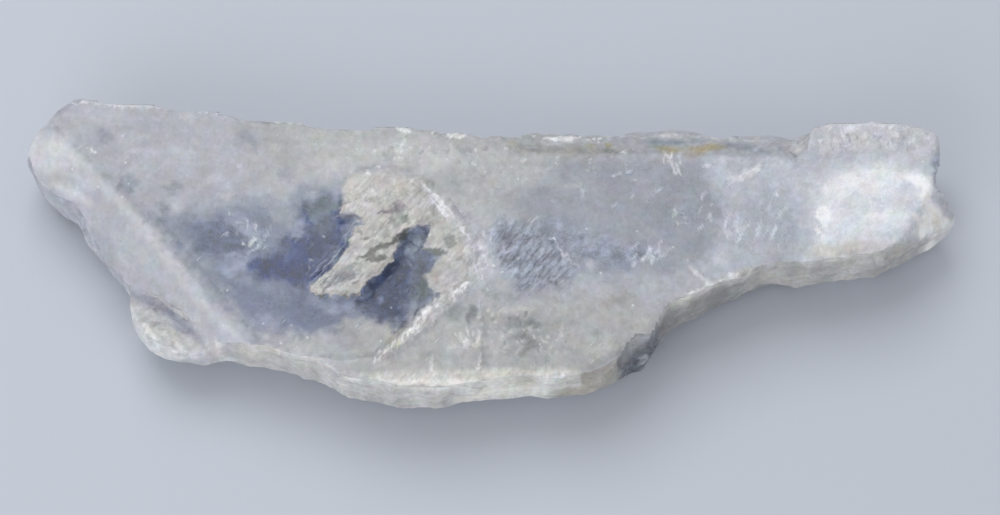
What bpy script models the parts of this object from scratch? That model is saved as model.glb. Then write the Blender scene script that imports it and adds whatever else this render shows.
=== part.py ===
"""A selenite (clear gypsum) cleavage blade, about 100 mm long.

It is one natural piece, so it is one solid. A blank is lofted through level rings, from the foot on the
ground, past the widest line, to the rim of the flat top. The blank is then worked in the way that the
crystal broke: flat facets are cut, thin cleavage layers are peeled off with torn edges, chips are knocked
out of the edges, and the torn slab and the fibrous lump that stand on it are added.

Everything is modelled in millimetres, with +X along the blade, +Y to its upper edge and +Z up from the
face that it rests on, and it is scaled to metres at the end.
"""

import math
from collections import namedtuple

import bmesh
import bpy
from mathutils import Matrix, Vector, noise

# Driving dimensions, in millimetres.
THICKNESS = 10.6
EDGE_STEP = 1.25
TORN_STEP = 0.8
CUTTER_HEIGHT = 6.0

# The grain: gypsum tears into fibres along one direction in the plane of the blade.
GRAIN_ANGLE = math.radians(48.0)
GRAIN = Vector((math.cos(GRAIN_ANGLE), math.sin(GRAIN_ANGLE), 0.0))

# The edge is pulled in towards this line through the middle of the blade.
SPINE_START = Vector((-38.0, 4.0, 0.0))
SPINE_END = Vector((42.0, 5.0, 0.0))

# The blade is a stack of cleavage layers, whose ends stand out unevenly in the broken edge.
LAYER_TOPS = (2.1, 4.3, 6.5, 8.6, THICKNESS)
LAYER_SEAM = 0.2
LAYER_BLOCK = 4.0

# The widest outline from above, anticlockwise from the left tip. Each stretch says how the edge broke
# there: how far in the foot and the rim lie, the height of the widest line and the depth of the relief.
Stretch = namedtuple("Stretch", "foot_in rim_in widest_z relief points")
LEFT_EDGE = Stretch(1.8, 0.9, 4.4, 0.3, (
    (-50.4, 10.3), (-49.8, 8.8), (-49.4, 7.6), (-47.9, 6.1), (-46.7, 5.2), (-45.0, 4.1), (-44.4, 2.7),
    (-43.3, 1.1), (-42.1, -0.5), (-41.6, -2.2), (-40.4, -3.1), (-39.0, -4.0), (-38.4, -5.4),
))
LUMP_EDGE = Stretch(2.4, 0.8, 4.0, 0.4, (
    (-38.2, -7.7), (-37.4, -9.2), (-36.1, -10.6), (-34.7, -11.5), (-33.2, -12.1), (-30.3, -12.1),
    (-28.7, -11.9),
))
LOWER_LEFT_EDGE = Stretch(2.6, 0.9, 4.6, 0.26, (
    (-26.0, -12.7), (-22.8, -13.4), (-20.5, -14.2), (-17.8, -14.6), (-16.4, -15.7), (-15.2, -16.5),
    (-12.1, -16.9),
))
LOWER_WALL = Stretch(3.0, 0.3, 4.3, 0.16, (
    (-10.2, -17.4), (-7.9, -17.4), (-5.3, -17.4), (-2.1, -16.9), (1.1, -16.3), (4.6, -16.0), (5.9, -16.4),
    (9.6, -15.8), (11.8, -15.2), (13.4, -14.4),
))
HOLLOW_EDGE = Stretch(2.2, 1.2, 4.4, 0.3, (
    (14.9, -13.4), (16.3, -13.3), (17.3, -11.7), (18.1, -10.1), (19.4, -8.6),
))
RIGHT_WALL = Stretch(2.4, 0.4, 4.6, 0.22, (
    (21.4, -7.6), (23.6, -6.5), (26.3, -5.3), (28.3, -4.2), (30.0, -3.6), (32.8, -3.8), (36.6, -3.3),
    (41.1, -2.9), (43.3, -1.7), (46.3, 0.0), (48.8, 1.2),
))
LUG_EDGE = Stretch(1.4, 0.7, 4.0, 0.2, ((49.9, 2.7), (50.4, 3.7), (49.7, 4.7), (48.7, 5.6), (47.6, 6.3)))
RIGHT_END = Stretch(1.6, 0.5, 5.2, 0.24, (
    (48.4, 7.3), (48.6, 8.6), (48.8, 10.3), (48.5, 11.7), (47.4, 12.6), (45.8, 13.0), (43.6, 13.3),
    (40.9, 13.6), (38.2, 13.8), (35.8, 13.4), (33.7, 12.9),
))
UPPER_RIGHT_EDGE = Stretch(1.8, 0.5, 5.0, 0.36, (
    (32.2, 12.2), (30.2, 12.6), (27.0, 12.5), (24.3, 12.3), (22.3, 13.0), (20.4, 13.3), (17.0, 13.1),
    (14.0, 12.8), (10.4, 12.5), (7.4, 12.9), (3.4, 12.8), (1.2, 12.3),
))
UPPER_EDGE = Stretch(2.0, 0.8, 5.2, 0.3, (
    (-1.2, 12.1), (-3.4, 12.5), (-5.6, 12.9), (-9.8, 13.2), (-13.4, 13.0), (-17.3, 13.1), (-20.5, 13.7),
    (-24.7, 14.1), (-28.0, 14.7), (-32.5, 15.2), (-37.4, 15.9), (-42.0, 16.0), (-43.6, 16.5),
    (-44.8, 16.5), (-45.8, 15.9), (-47.2, 14.6), (-48.8, 12.9), (-49.9, 11.6),
))
STRETCHES = (
    LEFT_EDGE, LUMP_EDGE, LOWER_LEFT_EDGE, LOWER_WALL, HOLLOW_EDGE,
    RIGHT_WALL, LUG_EDGE, RIGHT_END, UPPER_RIGHT_EDGE, UPPER_EDGE,
)
PROFILE_BLEND = 3

# Facets: a plane through the line from start to end at height z, which falls away to the right of that
# line at the slope. The cut reaches so far sideways, and so far past both ends.
Facet = namedtuple("Facet", "start end z slope reach past")
FACETS = (
    # the big facet of the left end, and the two narrow ones that soften its arris
    Facet((-47.6, 13.6), (-23.0, -12.1), THICKNESS, 28.0, 30.0, 30.0),
    Facet((-45.5, 11.5), (-34.2, 1.5), THICKNESS, 14.0, 4.0, 0.0),
    Facet((-34.2, 1.5), (-24.8, -10.2), THICKNESS, 14.0, 4.0, 0.0),
    # the small facet at the top of the left end
    Facet((-41.6, 17.0), (-47.0, 12.8), THICKNESS, 14.0, 9.0, 1.0),
    # the sloping strip of the upper right edge, its run-out and its end against the right block
    Facet((33.6, 8.7), (3.0, 9.5), THICKNESS, 27.0, 8.0, 0.0),
    Facet((6.0, 9.3), (-6.0, 13.2), THICKNESS, 27.0, 6.0, 0.0),
    Facet((34.6, 15.0), (33.7, 8.5), THICKNESS, 55.0, 1.6, 0.0),
    # the lug at the right end, below the notch
    Facet((44.0, -0.4), (47.2, 5.0), 10.0, 46.0, 9.0, 1.2),
    # the worn corner of the right block
    Facet((47.5, 6.0), (47.7, 13.6), THICKNESS, 42.0, 4.0, 1.0),
    # breaks along the lower right wall
    Facet((37.6, -3.0), (44.4, -0.2), THICKNESS, 52.0, 5.0, 0.5),
    Facet((26.4, -4.2), (30.8, -2.9), THICKNESS, 50.0, 4.0, 0.4),
    Facet((20.4, -7.4), (25.4, -4.7), THICKNESS, 58.0, 4.0, 0.4),
    # the low corner between the lower wall and the hollow
    Facet((3.0, -17.0), (15.0, -12.0), THICKNESS, 12.0, 8.0, 0.5),
)

# Cleavage layers: the layer is gone inside the outline. Its floor leaves the surface along a hinge line
# and sinks to the given depth at the far side, where the layer ends in a torn edge.
Peel = namedtuple("Peel", "side hinge fall depth_at torn outline")
PEELS = (
    # the clear window in the middle, whose layer ends in a torn edge like an arrowhead
    Peel("top", (-8.0, 8.5), (0.788, -0.615), (14.6, 0.8), 0.9, (
        (-12.0, 8.6), (-7.8, 5.8), (-4.8, 2.4), (-2.9, -0.6), (-1.9, -3.2), (-2.2, -5.2), (-4.4, -7.2),
        (-6.4, -8.9), (-8.9, -11.2), (-11.6, -13.4), (-16.0, -13.8), (-26.0, -13.0), (-24.0, -8.0),
    )),
    # a layer gone from the lower edge, right of a straight crack
    Peel("top", (-0.8, -4.0), (-0.469, -0.883), (10.5, 0.3), 0.3, (
        (-0.8, -8.0), (4.0, -9.4), (12.0, -10.2), (22.0, -11.8), (12.0, -20.0), (-1.0, -20.0),
    )),
    # under the blade
    Peel("foot", (-20.0, 8.0), (-0.8, 0.6), (26.0, 1.1), 0.8, (
        (-56.0, 8.0), (-46.0, 2.6), (-40.0, 1.4), (-37.0, -1.0), (-31.0, 2.6), (-24.0, 3.0), (-20.0, 8.0),
        (-24.0, 22.0), (-56.0, 22.0),
    )),
    Peel("foot", (16.0, 2.0), (0.5, -0.86), (14.0, 0.9), 0.9, (
        (6.0, -22.0), (8.4, -12.0), (7.0, -7.0), (13.0, -3.0), (21.0, -1.6), (30.0, 2.0), (44.0, -8.0),
    )),
    Peel("foot", (30.0, 6.0), (0.9, 0.4), (20.0, 1.0), 0.7, (
        (36.0, 18.0), (35.0, 9.0), (38.0, 5.0), (37.0, 1.0), (44.0, -6.0), (56.0, -2.0), (56.0, 18.0),
    )),
)

# Chips: flakes knocked off the rim or the foot, at the point of that line nearest to a place. A chip is cut
# by a rough ball with half sizes along the edge, across it and upwards, which mostly lies outside.
Chip = namedtuple("Chip", "line near half relief")
CHIPS = (
    # along the lower right wall
    Chip("rim", (32.4, -3.9), (1.8, 1.6, 3.2), 0.4),
    Chip("rim", (36.8, -3.4), (3.4, 1.5, 2.2), 0.5),
    # crushed places on the upper edge
    Chip("rim", (-22.8, 13.3), (4.0, 2.0, 1.7), 0.5),
    Chip("rim", (-9.6, 12.4), (1.9, 2.6, 1.6), 0.5),
    Chip("rim", (-4.0, 12.0), (3.8, 2.1, 1.7), 0.5),
    Chip("rim", (-33.4, 14.6), (3.4, 1.6, 1.6), 0.4),
    Chip("rim", (-14.8, 12.4), (2.8, 1.4, 1.3), 0.4),
    # the crumbled upper right edge
    Chip("strip", (1.6, 12.2), (2.7, 1.8, 1.7), 0.5),
    Chip("strip", (6.6, 12.5), (3.3, 2.3, 1.6), 0.5),
    Chip("strip", (11.4, 12.2), (2.4, 2.9, 1.7), 0.5),
    Chip("strip", (16.2, 12.8), (3.0, 2.0, 1.7), 0.5),
    Chip("strip", (21.8, 12.8), (3.5, 2.4, 1.7), 0.5),
    Chip("strip", (27.4, 12.4), (3.0, 2.0, 1.7), 0.5),
    Chip("strip", (32.4, 12.4), (2.0, 2.2, 3.0), 0.5),
    # the lower left edge
    Chip("rim", (-22.0, -13.6), (4.2, 1.7, 2.2), 0.5),
    Chip("rim", (-16.6, -15.2), (3.4, 1.8, 2.6), 0.5),
    Chip("rim", (5.4, -16.2), (2.8, 1.2, 1.6), 0.4),
    # under the blade, along the foot
    Chip("foot", (-40.0, 0.0), (4.4, 3.0, 2.4), 0.7),
    Chip("foot", (-30.0, -10.0), (4.8, 3.0, 2.6), 0.7),
    Chip("foot", (-4.0, -14.0), (6.4, 3.4, 2.8), 0.7),
    Chip("foot", (16.0, -10.0), (4.8, 3.4, 2.8), 0.7),
    Chip("foot", (30.0, -2.0), (5.8, 2.8, 2.4), 0.7),
    Chip("foot", (35.0, 11.0), (5.6, 2.8, 2.6), 0.7),
    Chip("foot", (6.0, 10.6), (6.6, 3.0, 2.6), 0.7),
    Chip("foot", (-21.0, 11.6), (5.8, 3.0, 2.8), 0.7),
)
CHIP_LINE_HEIGHTS = {"rim": THICKNESS, "strip": 8.8, "foot": 0.0}
CHIP_OUTSIDE = 0.6
CHIP_SUBDIVISIONS = 2

# The hollow at the lower right corner: a deep glassy scoop.
Scoop = namedtuple("Scoop", "place half turn relief")
HOLLOW = (
    Scoop((16.8, -14.9, 9.0), (3.2, 4.0, 4.4), 24.0, 0.5),
    Scoop((19.4, -11.0, 9.4), (2.6, 2.2, 3.4), 44.0, 0.4),
)
HOLLOW_SUBDIVISIONS = 3

# Ridges: rough rods along a path, joined to the blade where they stand up and cut from it as grooves.
# The lump at the lower left is where the blade tore from its neighbour, below a groove in the big facet.
Ridge = namedtuple("Ridge", "half_width half_height relief path")
LUMP = Ridge(2.0, 2.4, 0.26, (
    (-37.6, -5.2, 5.2), (-36.7, -7.3, 5.8), (-35.1, -9.2, 6.0), (-32.8, -10.5, 6.1), (-30.0, -11.2, 6.3),
    (-27.0, -11.9, 6.4),
))
GROOVE = Ridge(0.9, 0.8, 0.3, (
    (-39.4, -4.2, 7.0), (-37.0, -6.0, 7.5), (-35.0, -7.0, 7.8), (-33.0, -8.5, 8.0), (-31.4, -9.9, 8.1),
    (-29.2, -11.9, 8.2),
))
# Crushed fibres along the two arms of the arrowhead, and the low ridge above the lower wall.
FRINGES = (
    Ridge(0.95, 0.28, 0.6, (
        (-12.0, -14.0, 10.45), (-9.0, -11.7, 10.55), (-6.6, -9.5, 10.55), (-4.4, -7.7, 10.55),
        (-2.2, -5.9, 10.5), (-1.0, -4.1, 10.4),
    )),
    Ridge(0.5, 0.2, 0.4, (
        (-6.0, 4.7, 10.5), (-4.8, 3.3, 10.55), (-3.7, 1.9, 10.55), (-2.4, -0.1, 10.55), (-1.2, -3.0, 10.4),
    )),
    Ridge(1.3, 0.2, 0.5, (
        (-12.4, -15.2, 10.4), (-7.0, -15.7, 10.55), (-1.6, -15.5, 10.55), (4.0, -14.8, 10.4),
    )),
)
RIDGE_SIDES = 8
RIDGE_STEP = 0.9

# The torn slab: a last shred of a layer that stands on the top face.
SLAB_TOP = THICKNESS + 0.35
SLAB_TORN = 1.5
SLAB_OUTLINE = (
    (-15.4, 2.2), (-13.6, 1.2), (-14.8, -0.8), (-15.6, -2.6), (-17.2, -4.2), (-18.9, -5.9), (-17.4, -6.6),
    (-15.0, -6.9), (-13.1, -6.5), (-12.7, -5.2), (-11.2, -3.9), (-10.1, -2.6), (-9.8, -1.0), (-8.4, 0.7),
    (-6.8, 1.2), (-5.9, 3.6), (-7.0, 6.0), (-9.2, 6.9), (-12.0, 7.5), (-14.2, 7.0), (-15.8, 5.0),
)

NODE_NAME = "crystal_blade"
COLOUR = (0.62, 0.64, 0.69, 1.0)
ROUGHNESS = 0.3
IOR = 1.525
SHARP_ANGLE = math.radians(12.0)


def clear_scene():
    for obj in list(bpy.data.objects):
        bpy.data.objects.remove(obj)


def new_object(name, bm):
    """Turns a bmesh into an object of the scene, in triangles whose faces point out."""
    bmesh.ops.recalc_face_normals(bm, faces=bm.faces)
    bmesh.ops.triangulate(bm, faces=bm.faces)
    mesh = bpy.data.meshes.new(name)
    bm.to_mesh(mesh)
    bm.free()
    obj = bpy.data.objects.new(name, mesh)
    bpy.context.scene.collection.objects.link(obj)
    return obj


def bridge(bm, rings):
    """Closes a stack of rings of points into a solid, with a flat face at each end."""
    verts = [[bm.verts.new(point) for point in ring] for ring in rings]
    for lower, upper in zip(verts, verts[1:]):
        for k, vert in enumerate(lower):
            after = (k + 1) % len(lower)
            bm.faces.new((vert, lower[after], upper[after], upper[k]))
    bm.faces.new(reversed(verts[0]))
    bm.faces.new(verts[-1])


def resample(points, spacing):
    """Evenly spaced points along a closed line, each with the index of the side that it lies on."""
    samples = []
    travelled = 0.0
    for index, start in enumerate(points):
        end = points[(index + 1) % len(points)]
        length = (end - start).length
        while travelled < length:
            samples.append((start.lerp(end, travelled / length), index))
            travelled += spacing
        travelled -= length
    return samples


def towards_spine(point):
    """The direction in plan from a point of the edge to the nearest point of the spine."""
    along = SPINE_END - SPINE_START
    share = (point - SPINE_START).dot(along) / along.length_squared
    nearest = SPINE_START + along * min(max(share, 0.0), 1.0)
    return (nearest - point).normalized()


def edge_samples():
    """Points of the widest outline, each with the blended profile of its stretch."""
    corners = []
    owners = []
    for stretch in STRETCHES:
        for x, y in stretch.points:
            corners.append(Vector((x, y, 0.0)))
            owners.append(stretch)
    samples = resample(corners, EDGE_STEP)
    count = len(samples)
    blended = []
    for index, (point, _) in enumerate(samples):
        window = [owners[samples[(index + k) % count][1]] for k in range(-PROFILE_BLEND, PROFILE_BLEND + 1)]
        profile = [sum(stretch[field] for stretch in window) / len(window) for field in range(4)]
        blended.append((point, profile))
    return blended


def layer_end(distance, layer):
    """How far the end of a layer stands out: blocks of uneven length along the edge."""
    warp = noise.noise(Vector((distance * 0.13, layer * 3.7, 0.0)))
    return noise.cell(Vector((distance / LAYER_BLOCK + 2.0 * warp, layer * 5.3, 0.5))) - 0.5


def hackle(point):
    """The uneven swell of a broken face."""
    return noise.noise(point * 0.4) + 0.6 * noise.noise(point * 1.1)


def inset_at(z, foot_in, rim_in, widest_z):
    """How far the edge lies inside the widest outline at a height."""
    if z < widest_z:
        return foot_in * (1.0 - z / widest_z) ** 1.5
    return rim_in * ((z - widest_z) / (THICKNESS - widest_z)) ** 1.5


def loft_blank():
    """The blank, a stack of layers, and the lines of its rim and foot."""
    samples = edge_samples()
    heights = []
    bottom = 0.0
    for layer, top in enumerate(LAYER_TOPS):
        heights += [(bottom, layer), (top, layer)]
        bottom = top + LAYER_SEAM
    rings = []
    for z, layer in heights:
        ring = []
        for index, (point, (foot_in, rim_in, widest_z, relief)) in enumerate(samples):
            place = Vector((point.x, point.y, z))
            outwards = relief * (hackle(place) + layer_end(index * EDGE_STEP, layer))
            ring.append(place + towards_spine(point) * (inset_at(z, foot_in, rim_in, widest_z) - outwards))
        rings.append(ring)
    bm = bmesh.new()
    bridge(bm, rings)
    return new_object(NODE_NAME, bm), rings[-1], rings[0]


def facet_cutter(facet):
    """A block whose lower face is the facet's plane."""
    start = Vector((*facet.start, facet.z))
    end = Vector((*facet.end, facet.z))
    along = (end - start).normalized()
    side = along.cross(Vector((0.0, 0.0, 1.0)))
    fall = math.tan(math.radians(facet.slope))
    down = side - Vector((0.0, 0.0, fall))
    up = Vector((0.0, 0.0, CUTTER_HEIGHT + facet.reach * fall))
    rings = []
    for place in (start - along * facet.past, end + along * facet.past):
        inner = place - down
        outer = place + down * facet.reach
        rings.append((inner, outer, outer + up, inner + up))
    bm = bmesh.new()
    bridge(bm, rings)
    return new_object("facet", bm)


def torn_line(outline, torn):
    """A closed line broken into short steps. It splinters where it crosses the grain, and not along it."""
    corners = [Vector((x, y, 0.0)) for x, y in outline]
    line = []
    for point, side in resample(corners, TORN_STEP):
        along = (corners[(side + 1) % len(corners)] - corners[side]).normalized()
        splinter = noise.noise(point * 1.7) + 0.6 * noise.noise(point * 4.1)
        line.append(point + GRAIN * torn * splinter * along.cross(GRAIN).length)
    return line


def prism(name, line, floor, ceiling):
    """A closed prism over a line in plan, whose ends are at heights given by two functions."""
    low = [Vector((point.x, point.y, floor(point))) for point in line]
    high = [Vector((point.x, point.y, ceiling(point))) for point in line]
    bm = bmesh.new()
    bridge(bm, (low, high))
    return new_object(name, bm)


def peel_cutter(peel):
    """The missing layer, from its sloping floor to well outside the blade."""
    hinge = Vector((*peel.hinge, 0.0))
    fall = Vector((*peel.fall, 0.0)).normalized()
    distance, depth = peel.depth_at

    def depth_below(point):
        return (point - hinge).dot(fall) * depth / distance

    line = torn_line(peel.outline, peel.torn)
    if peel.side == "top":
        return prism("peel", line, lambda p: THICKNESS - depth_below(p), lambda p: THICKNESS + CUTTER_HEIGHT)
    return prism("peel", line, lambda p: -CUTTER_HEIGHT, depth_below)


def rough_ball(name, place, half, turn, relief, subdivisions):
    """A rough ellipsoid: angular with few subdivisions, and smoother with more."""
    bm = bmesh.new()
    bmesh.ops.create_icosphere(bm, subdivisions=subdivisions, radius=1.0)
    turned = Matrix.Rotation(math.radians(turn), 3, "Z")
    for vert in bm.verts:
        outward = turned @ vert.co
        reach = turned @ Vector([vert.co[axis] * half[axis] for axis in range(3)])
        vert.co = place + reach
        vert.co += outward * relief * (noise.noise(vert.co * 0.9) + 0.7 * noise.noise(vert.co * 2.3))
    return new_object(name, bm)


def chip_cutter(chip, rim, foot):
    """A ball beside the nearest point of the rim or the foot, which takes the corner off there."""
    line = foot if chip.line == "foot" else rim
    near = Vector(chip.near)
    place = min(line, key=lambda point: (point.xy - near).length).copy()
    outwards = -towards_spine(place.xy.to_3d())
    away = -1.0 if chip.line == "foot" else 1.0
    place.z = CHIP_LINE_HEIGHTS[chip.line] + away * CHIP_OUTSIDE * chip.half[2]
    turn = math.degrees(math.atan2(outwards.y, outwards.x)) - 90.0
    place += outwards * CHIP_OUTSIDE * chip.half[1]
    return rough_ball("chip", place, chip.half, turn, chip.relief, CHIP_SUBDIVISIONS)


def rough_rod(name, ridge):
    """A rough rod along a path, flat in section and pointed at both ends."""
    corners = [Vector(point) for point in ridge.path]
    line = [corners[0]]
    for start, end in zip(corners, corners[1:]):
        steps = max(1, round((end - start).length / RIDGE_STEP))
        line += [start.lerp(end, k / steps) for k in range(1, steps + 1)]
    rings = []
    for index, centre in enumerate(line):
        along = (line[min(index + 1, len(line) - 1)] - line[max(index - 1, 0)]).normalized()
        side = along.cross(Vector((0.0, 0.0, 1.0))).normalized()
        swell = 0.12 + 0.88 * math.sin(math.pi * index / (len(line) - 1)) ** 0.6
        ring = []
        for k in range(RIDGE_SIDES):
            angle = 2.0 * math.pi * k / RIDGE_SIDES
            across = side * math.cos(angle) * ridge.half_width
            rise = Vector((0.0, 0.0, math.sin(angle) * ridge.half_height))
            point = centre + (across + rise) * swell
            rough = 1.0 + ridge.relief * (noise.noise(point * 1.3) + 0.6 * noise.noise(point * 3.1))
            ring.append(centre + (across + rise) * swell * rough)
        rings.append(ring)
    bm = bmesh.new()
    bridge(bm, rings)
    return new_object(name, bm)


def combine(target, tools, operation):
    """Cuts tools from the target, or joins them to it, one at a time, and removes them."""
    bpy.context.view_layer.objects.active = target
    for tool in tools:
        modifier = target.modifiers.new(tool.name, "BOOLEAN")
        modifier.operation = operation
        modifier.solver = "EXACT"
        modifier.object = tool
        bpy.ops.object.modifier_apply(modifier=modifier.name)
        bpy.data.objects.remove(tool)


def crystal_material():
    material = bpy.data.materials.new("selenite")
    material.use_nodes = True
    shader = material.node_tree.nodes["Principled BSDF"]
    shader.inputs["Base Color"].default_value = COLOUR
    shader.inputs["Roughness"].default_value = ROUGHNESS
    shader.inputs["Metallic"].default_value = 0.0
    shader.inputs["IOR"].default_value = IOR
    return material


def finish(blade):
    """Triangulates the solid, puts its origin at the bottom centre and scales it to metres."""
    bm = bmesh.new()
    bm.from_mesh(blade.data)
    bmesh.ops.dissolve_degenerate(bm, dist=0.002, edges=bm.edges)
    bmesh.ops.triangulate(bm, faces=bm.faces)
    low = Vector([min(vert.co[axis] for vert in bm.verts) for axis in range(3)])
    high = Vector([max(vert.co[axis] for vert in bm.verts) for axis in range(3)])
    origin = Vector(((low.x + high.x) / 2, (low.y + high.y) / 2, low.z))
    bmesh.ops.translate(bm, verts=bm.verts, vec=-origin)
    bmesh.ops.scale(bm, verts=bm.verts, vec=(0.001, 0.001, 0.001))
    bm.to_mesh(blade.data)
    bm.free()
    blade.data.shade_smooth()
    blade.data.set_sharp_from_angle(angle=SHARP_ANGLE)
    blade.data.materials.clear()
    blade.data.materials.append(crystal_material())


def build():
    clear_scene()
    blade, rim, foot = loft_blank()
    cuts = [facet_cutter(facet) for facet in FACETS]
    cuts += [peel_cutter(peel) for peel in PEELS]
    cuts += [chip_cutter(chip, rim, foot) for chip in CHIPS]
    cuts += [rough_ball("hollow", Vector(scoop.place), *scoop[1:], HOLLOW_SUBDIVISIONS) for scoop in HOLLOW]
    combine(blade, cuts, "DIFFERENCE")
    slab_line = torn_line(SLAB_OUTLINE, SLAB_TORN)
    slab = prism("slab", slab_line, lambda p: THICKNESS - 1.0, lambda p: SLAB_TOP)
    combine(blade, [slab] + [rough_rod("ridge", ridge) for ridge in (LUMP, *FRINGES)], "UNION")
    combine(blade, [rough_rod("groove", GROOVE)], "DIFFERENCE")
    finish(blade)


build()
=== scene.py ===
"""A broken blade of selenite, 100 mm long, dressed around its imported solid. Table lengths are in mm."""

import math
import random

import bpy
import numpy as np
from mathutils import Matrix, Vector, noise


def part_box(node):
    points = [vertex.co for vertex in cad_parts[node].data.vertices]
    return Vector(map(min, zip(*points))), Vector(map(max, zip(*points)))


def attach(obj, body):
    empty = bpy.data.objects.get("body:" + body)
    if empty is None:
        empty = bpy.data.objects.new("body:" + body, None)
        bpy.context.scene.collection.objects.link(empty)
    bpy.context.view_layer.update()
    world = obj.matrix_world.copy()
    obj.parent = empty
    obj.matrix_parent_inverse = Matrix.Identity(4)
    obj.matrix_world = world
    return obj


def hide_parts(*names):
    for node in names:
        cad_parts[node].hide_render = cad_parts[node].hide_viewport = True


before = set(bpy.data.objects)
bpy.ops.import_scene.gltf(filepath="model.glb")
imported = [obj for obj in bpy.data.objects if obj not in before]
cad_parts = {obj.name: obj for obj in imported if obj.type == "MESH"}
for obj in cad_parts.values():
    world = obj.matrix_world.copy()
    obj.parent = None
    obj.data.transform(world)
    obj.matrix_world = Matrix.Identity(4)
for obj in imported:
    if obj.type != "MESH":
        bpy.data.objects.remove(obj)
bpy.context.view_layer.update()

# ------------------------------------------------------------------ the blade
# One cleavage slab of selenite, the clear form of gypsum, snapped from a bigger crystal.
# Its top and underside are natural cleavage faces; its edges are broken across the grain,
# where the mineral parts in thin layers. Nothing is fixed to it: it lies on its flat side.
MM = 0.001
PLAN_MIDDLE = (0.013, -0.471)  # where the solid's middle lies on the slab's plan
SKIN_STEP = 0.44  # side of one face of the skin; half that on the top, a quarter where it is torn
UNDERSIDE_FACES = 0.12  # the share of its faces that the flat underside keeps
GRAIN_TURN = 48  # degrees from the blade's length to the fibres of the tear
# Outlines on the slab's plan, x and y in turn: the fibrous lump, the valley that the bevel
# meets it in, the notch in the back edge, and where the top is torn and its marks are finest.
LUMP = (-39.5, -6, -36, -4.5, -28, -10, -27, -14, -36, -14, -40, -10)
GROOVE = (-40.4, -6.2, -39.4, -4.2, -34, -6.8, -29.5, -10.2, -27.2, -13, -29.6, -13.6, -33, -10.8,
    -37, -8.2)
NOTCH = (31, 7.6, 31, 11.6, 33.8, 11.6, 33.8, 7.6)
TORN_AREAS = (
    (-19.4, -7.3, -19.4, -5.2, -16.4, -1.4, -16.5, 7.6, -7.6, 7.4, -1.2, 0.4, -0.6, -5.4, -4.6, -7.8,
        -10.8, -14.2, -12.6, -14.2, -7.3, -8.6, -7.4, -4.6, -10.2, -3.4, -12.9, -7.3),
    (-0.6, 0.8, 1.4, 1.9, 5.2, 2.2, 7.4, 0, 9.4, -4, 6.6, -6.2, 2, -6.8, 0.6, -3),
)


def read(items, name):
    """The place or the facing of every point or face, one row for each."""
    numbers = np.zeros(len(items) * 3, np.float32)
    items.foreach_get(name, numbers)
    return numbers.reshape(-1, 3).astype(float)


def measure(items, name):
    """Where points or faces lie on the slab's plan, in millimetres, and the way they face."""
    return read(items, name) / MM + (*PLAN_MIDDLE, 0), read(items, "normal")


def smooth_step(value, low, high):
    """From 0 at the low value to 1 at the high one, without a kink."""
    share = np.clip((value - low) / (high - low), 0, 1)
    return share * share * (3 - 2 * share)


def to_line(place, path):
    """How far each point is from a path, and how far along the path it lies, from 0 to 1."""
    path = np.reshape(path, (-1, 2)).astype(float)
    nearest = np.full(len(place), np.inf)
    along = np.zeros(len(place))
    run = 0.0
    for a, b in zip(path[:-1], path[1:]):
        reach = b - a
        length = max(math.hypot(*reach), 1e-6)
        share = np.clip(((place[:, :2] - a) @ reach) / length**2, 0, 1)
        gap = place[:, :2] - a - share[:, None] * reach
        distance = np.hypot(gap[:, 0], gap[:, 1])
        closer = distance < nearest
        nearest = np.where(closer, distance, nearest)
        along = np.where(closer, run + share * length, along)
        run += length
    return nearest, along / run


def inside(place, outline):
    """Depth inside an outline: positive inside it, negative outside."""
    outline = np.reshape(outline, (-1, 2))
    ring = np.vstack([outline, outline[:1]])
    depth = to_line(place, ring)[0]
    within = np.zeros(len(place), bool)
    for (x0, y0), (x1, y1) in zip(ring[:-1], ring[1:]):
        if y0 != y1:
            crosses = (y0 > place[:, 1]) != (y1 > place[:, 1])
            within ^= crosses & (place[:, 0] < (x1 - x0) * (place[:, 1] - y0) / (y1 - y0) + x0)
    return np.where(within, depth, -depth)


def streak(place, path, width, taper=0.3, tip=0.3):
    """Depth inside a streak of that half width, which thins out to its two ends."""
    distance, along = to_line(place, path)
    thin = np.minimum(1, np.minimum(along, 1 - along) / taper)
    return width * (tip + (1 - tip) * thin) - distance


# The skin: a copy of the solid, its triangles joined, remeshed in even small faces.
bpy.ops.object.select_all(action="DESELECT")
blade = bpy.data.objects.new("selenite_blade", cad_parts["crystal_blade"].data.copy())
bpy.context.scene.collection.objects.link(blade)
blade.select_set(True)
bpy.context.view_layer.objects.active = blade
bpy.ops.object.mode_set(mode="EDIT")
bpy.ops.mesh.select_mode(type="FACE")
bpy.ops.mesh.select_all(action="SELECT")
bpy.ops.mesh.remove_doubles(threshold=0.001 * MM)
bpy.ops.mesh.normals_make_consistent(inside=False)
bpy.ops.object.mode_set(mode="OBJECT")
skin = blade.modifiers.new("skin", "REMESH")
skin.mode = "VOXEL"
skin.voxel_size = SKIN_STEP * MM
bpy.ops.object.modifier_apply(modifier=skin.name)


def pick(test):
    """Goes into edit mode with only those faces selected whose middle and facing pass the test."""
    faces = blade.data.polygons
    chosen = test(*measure(faces, "center"))
    bpy.ops.object.mode_set(mode="EDIT")
    bpy.ops.mesh.select_all(action="DESELECT")
    bpy.ops.object.mode_set(mode="OBJECT")
    faces.foreach_set("select", chosen)
    bpy.ops.object.mode_set(mode="EDIT")


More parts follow.
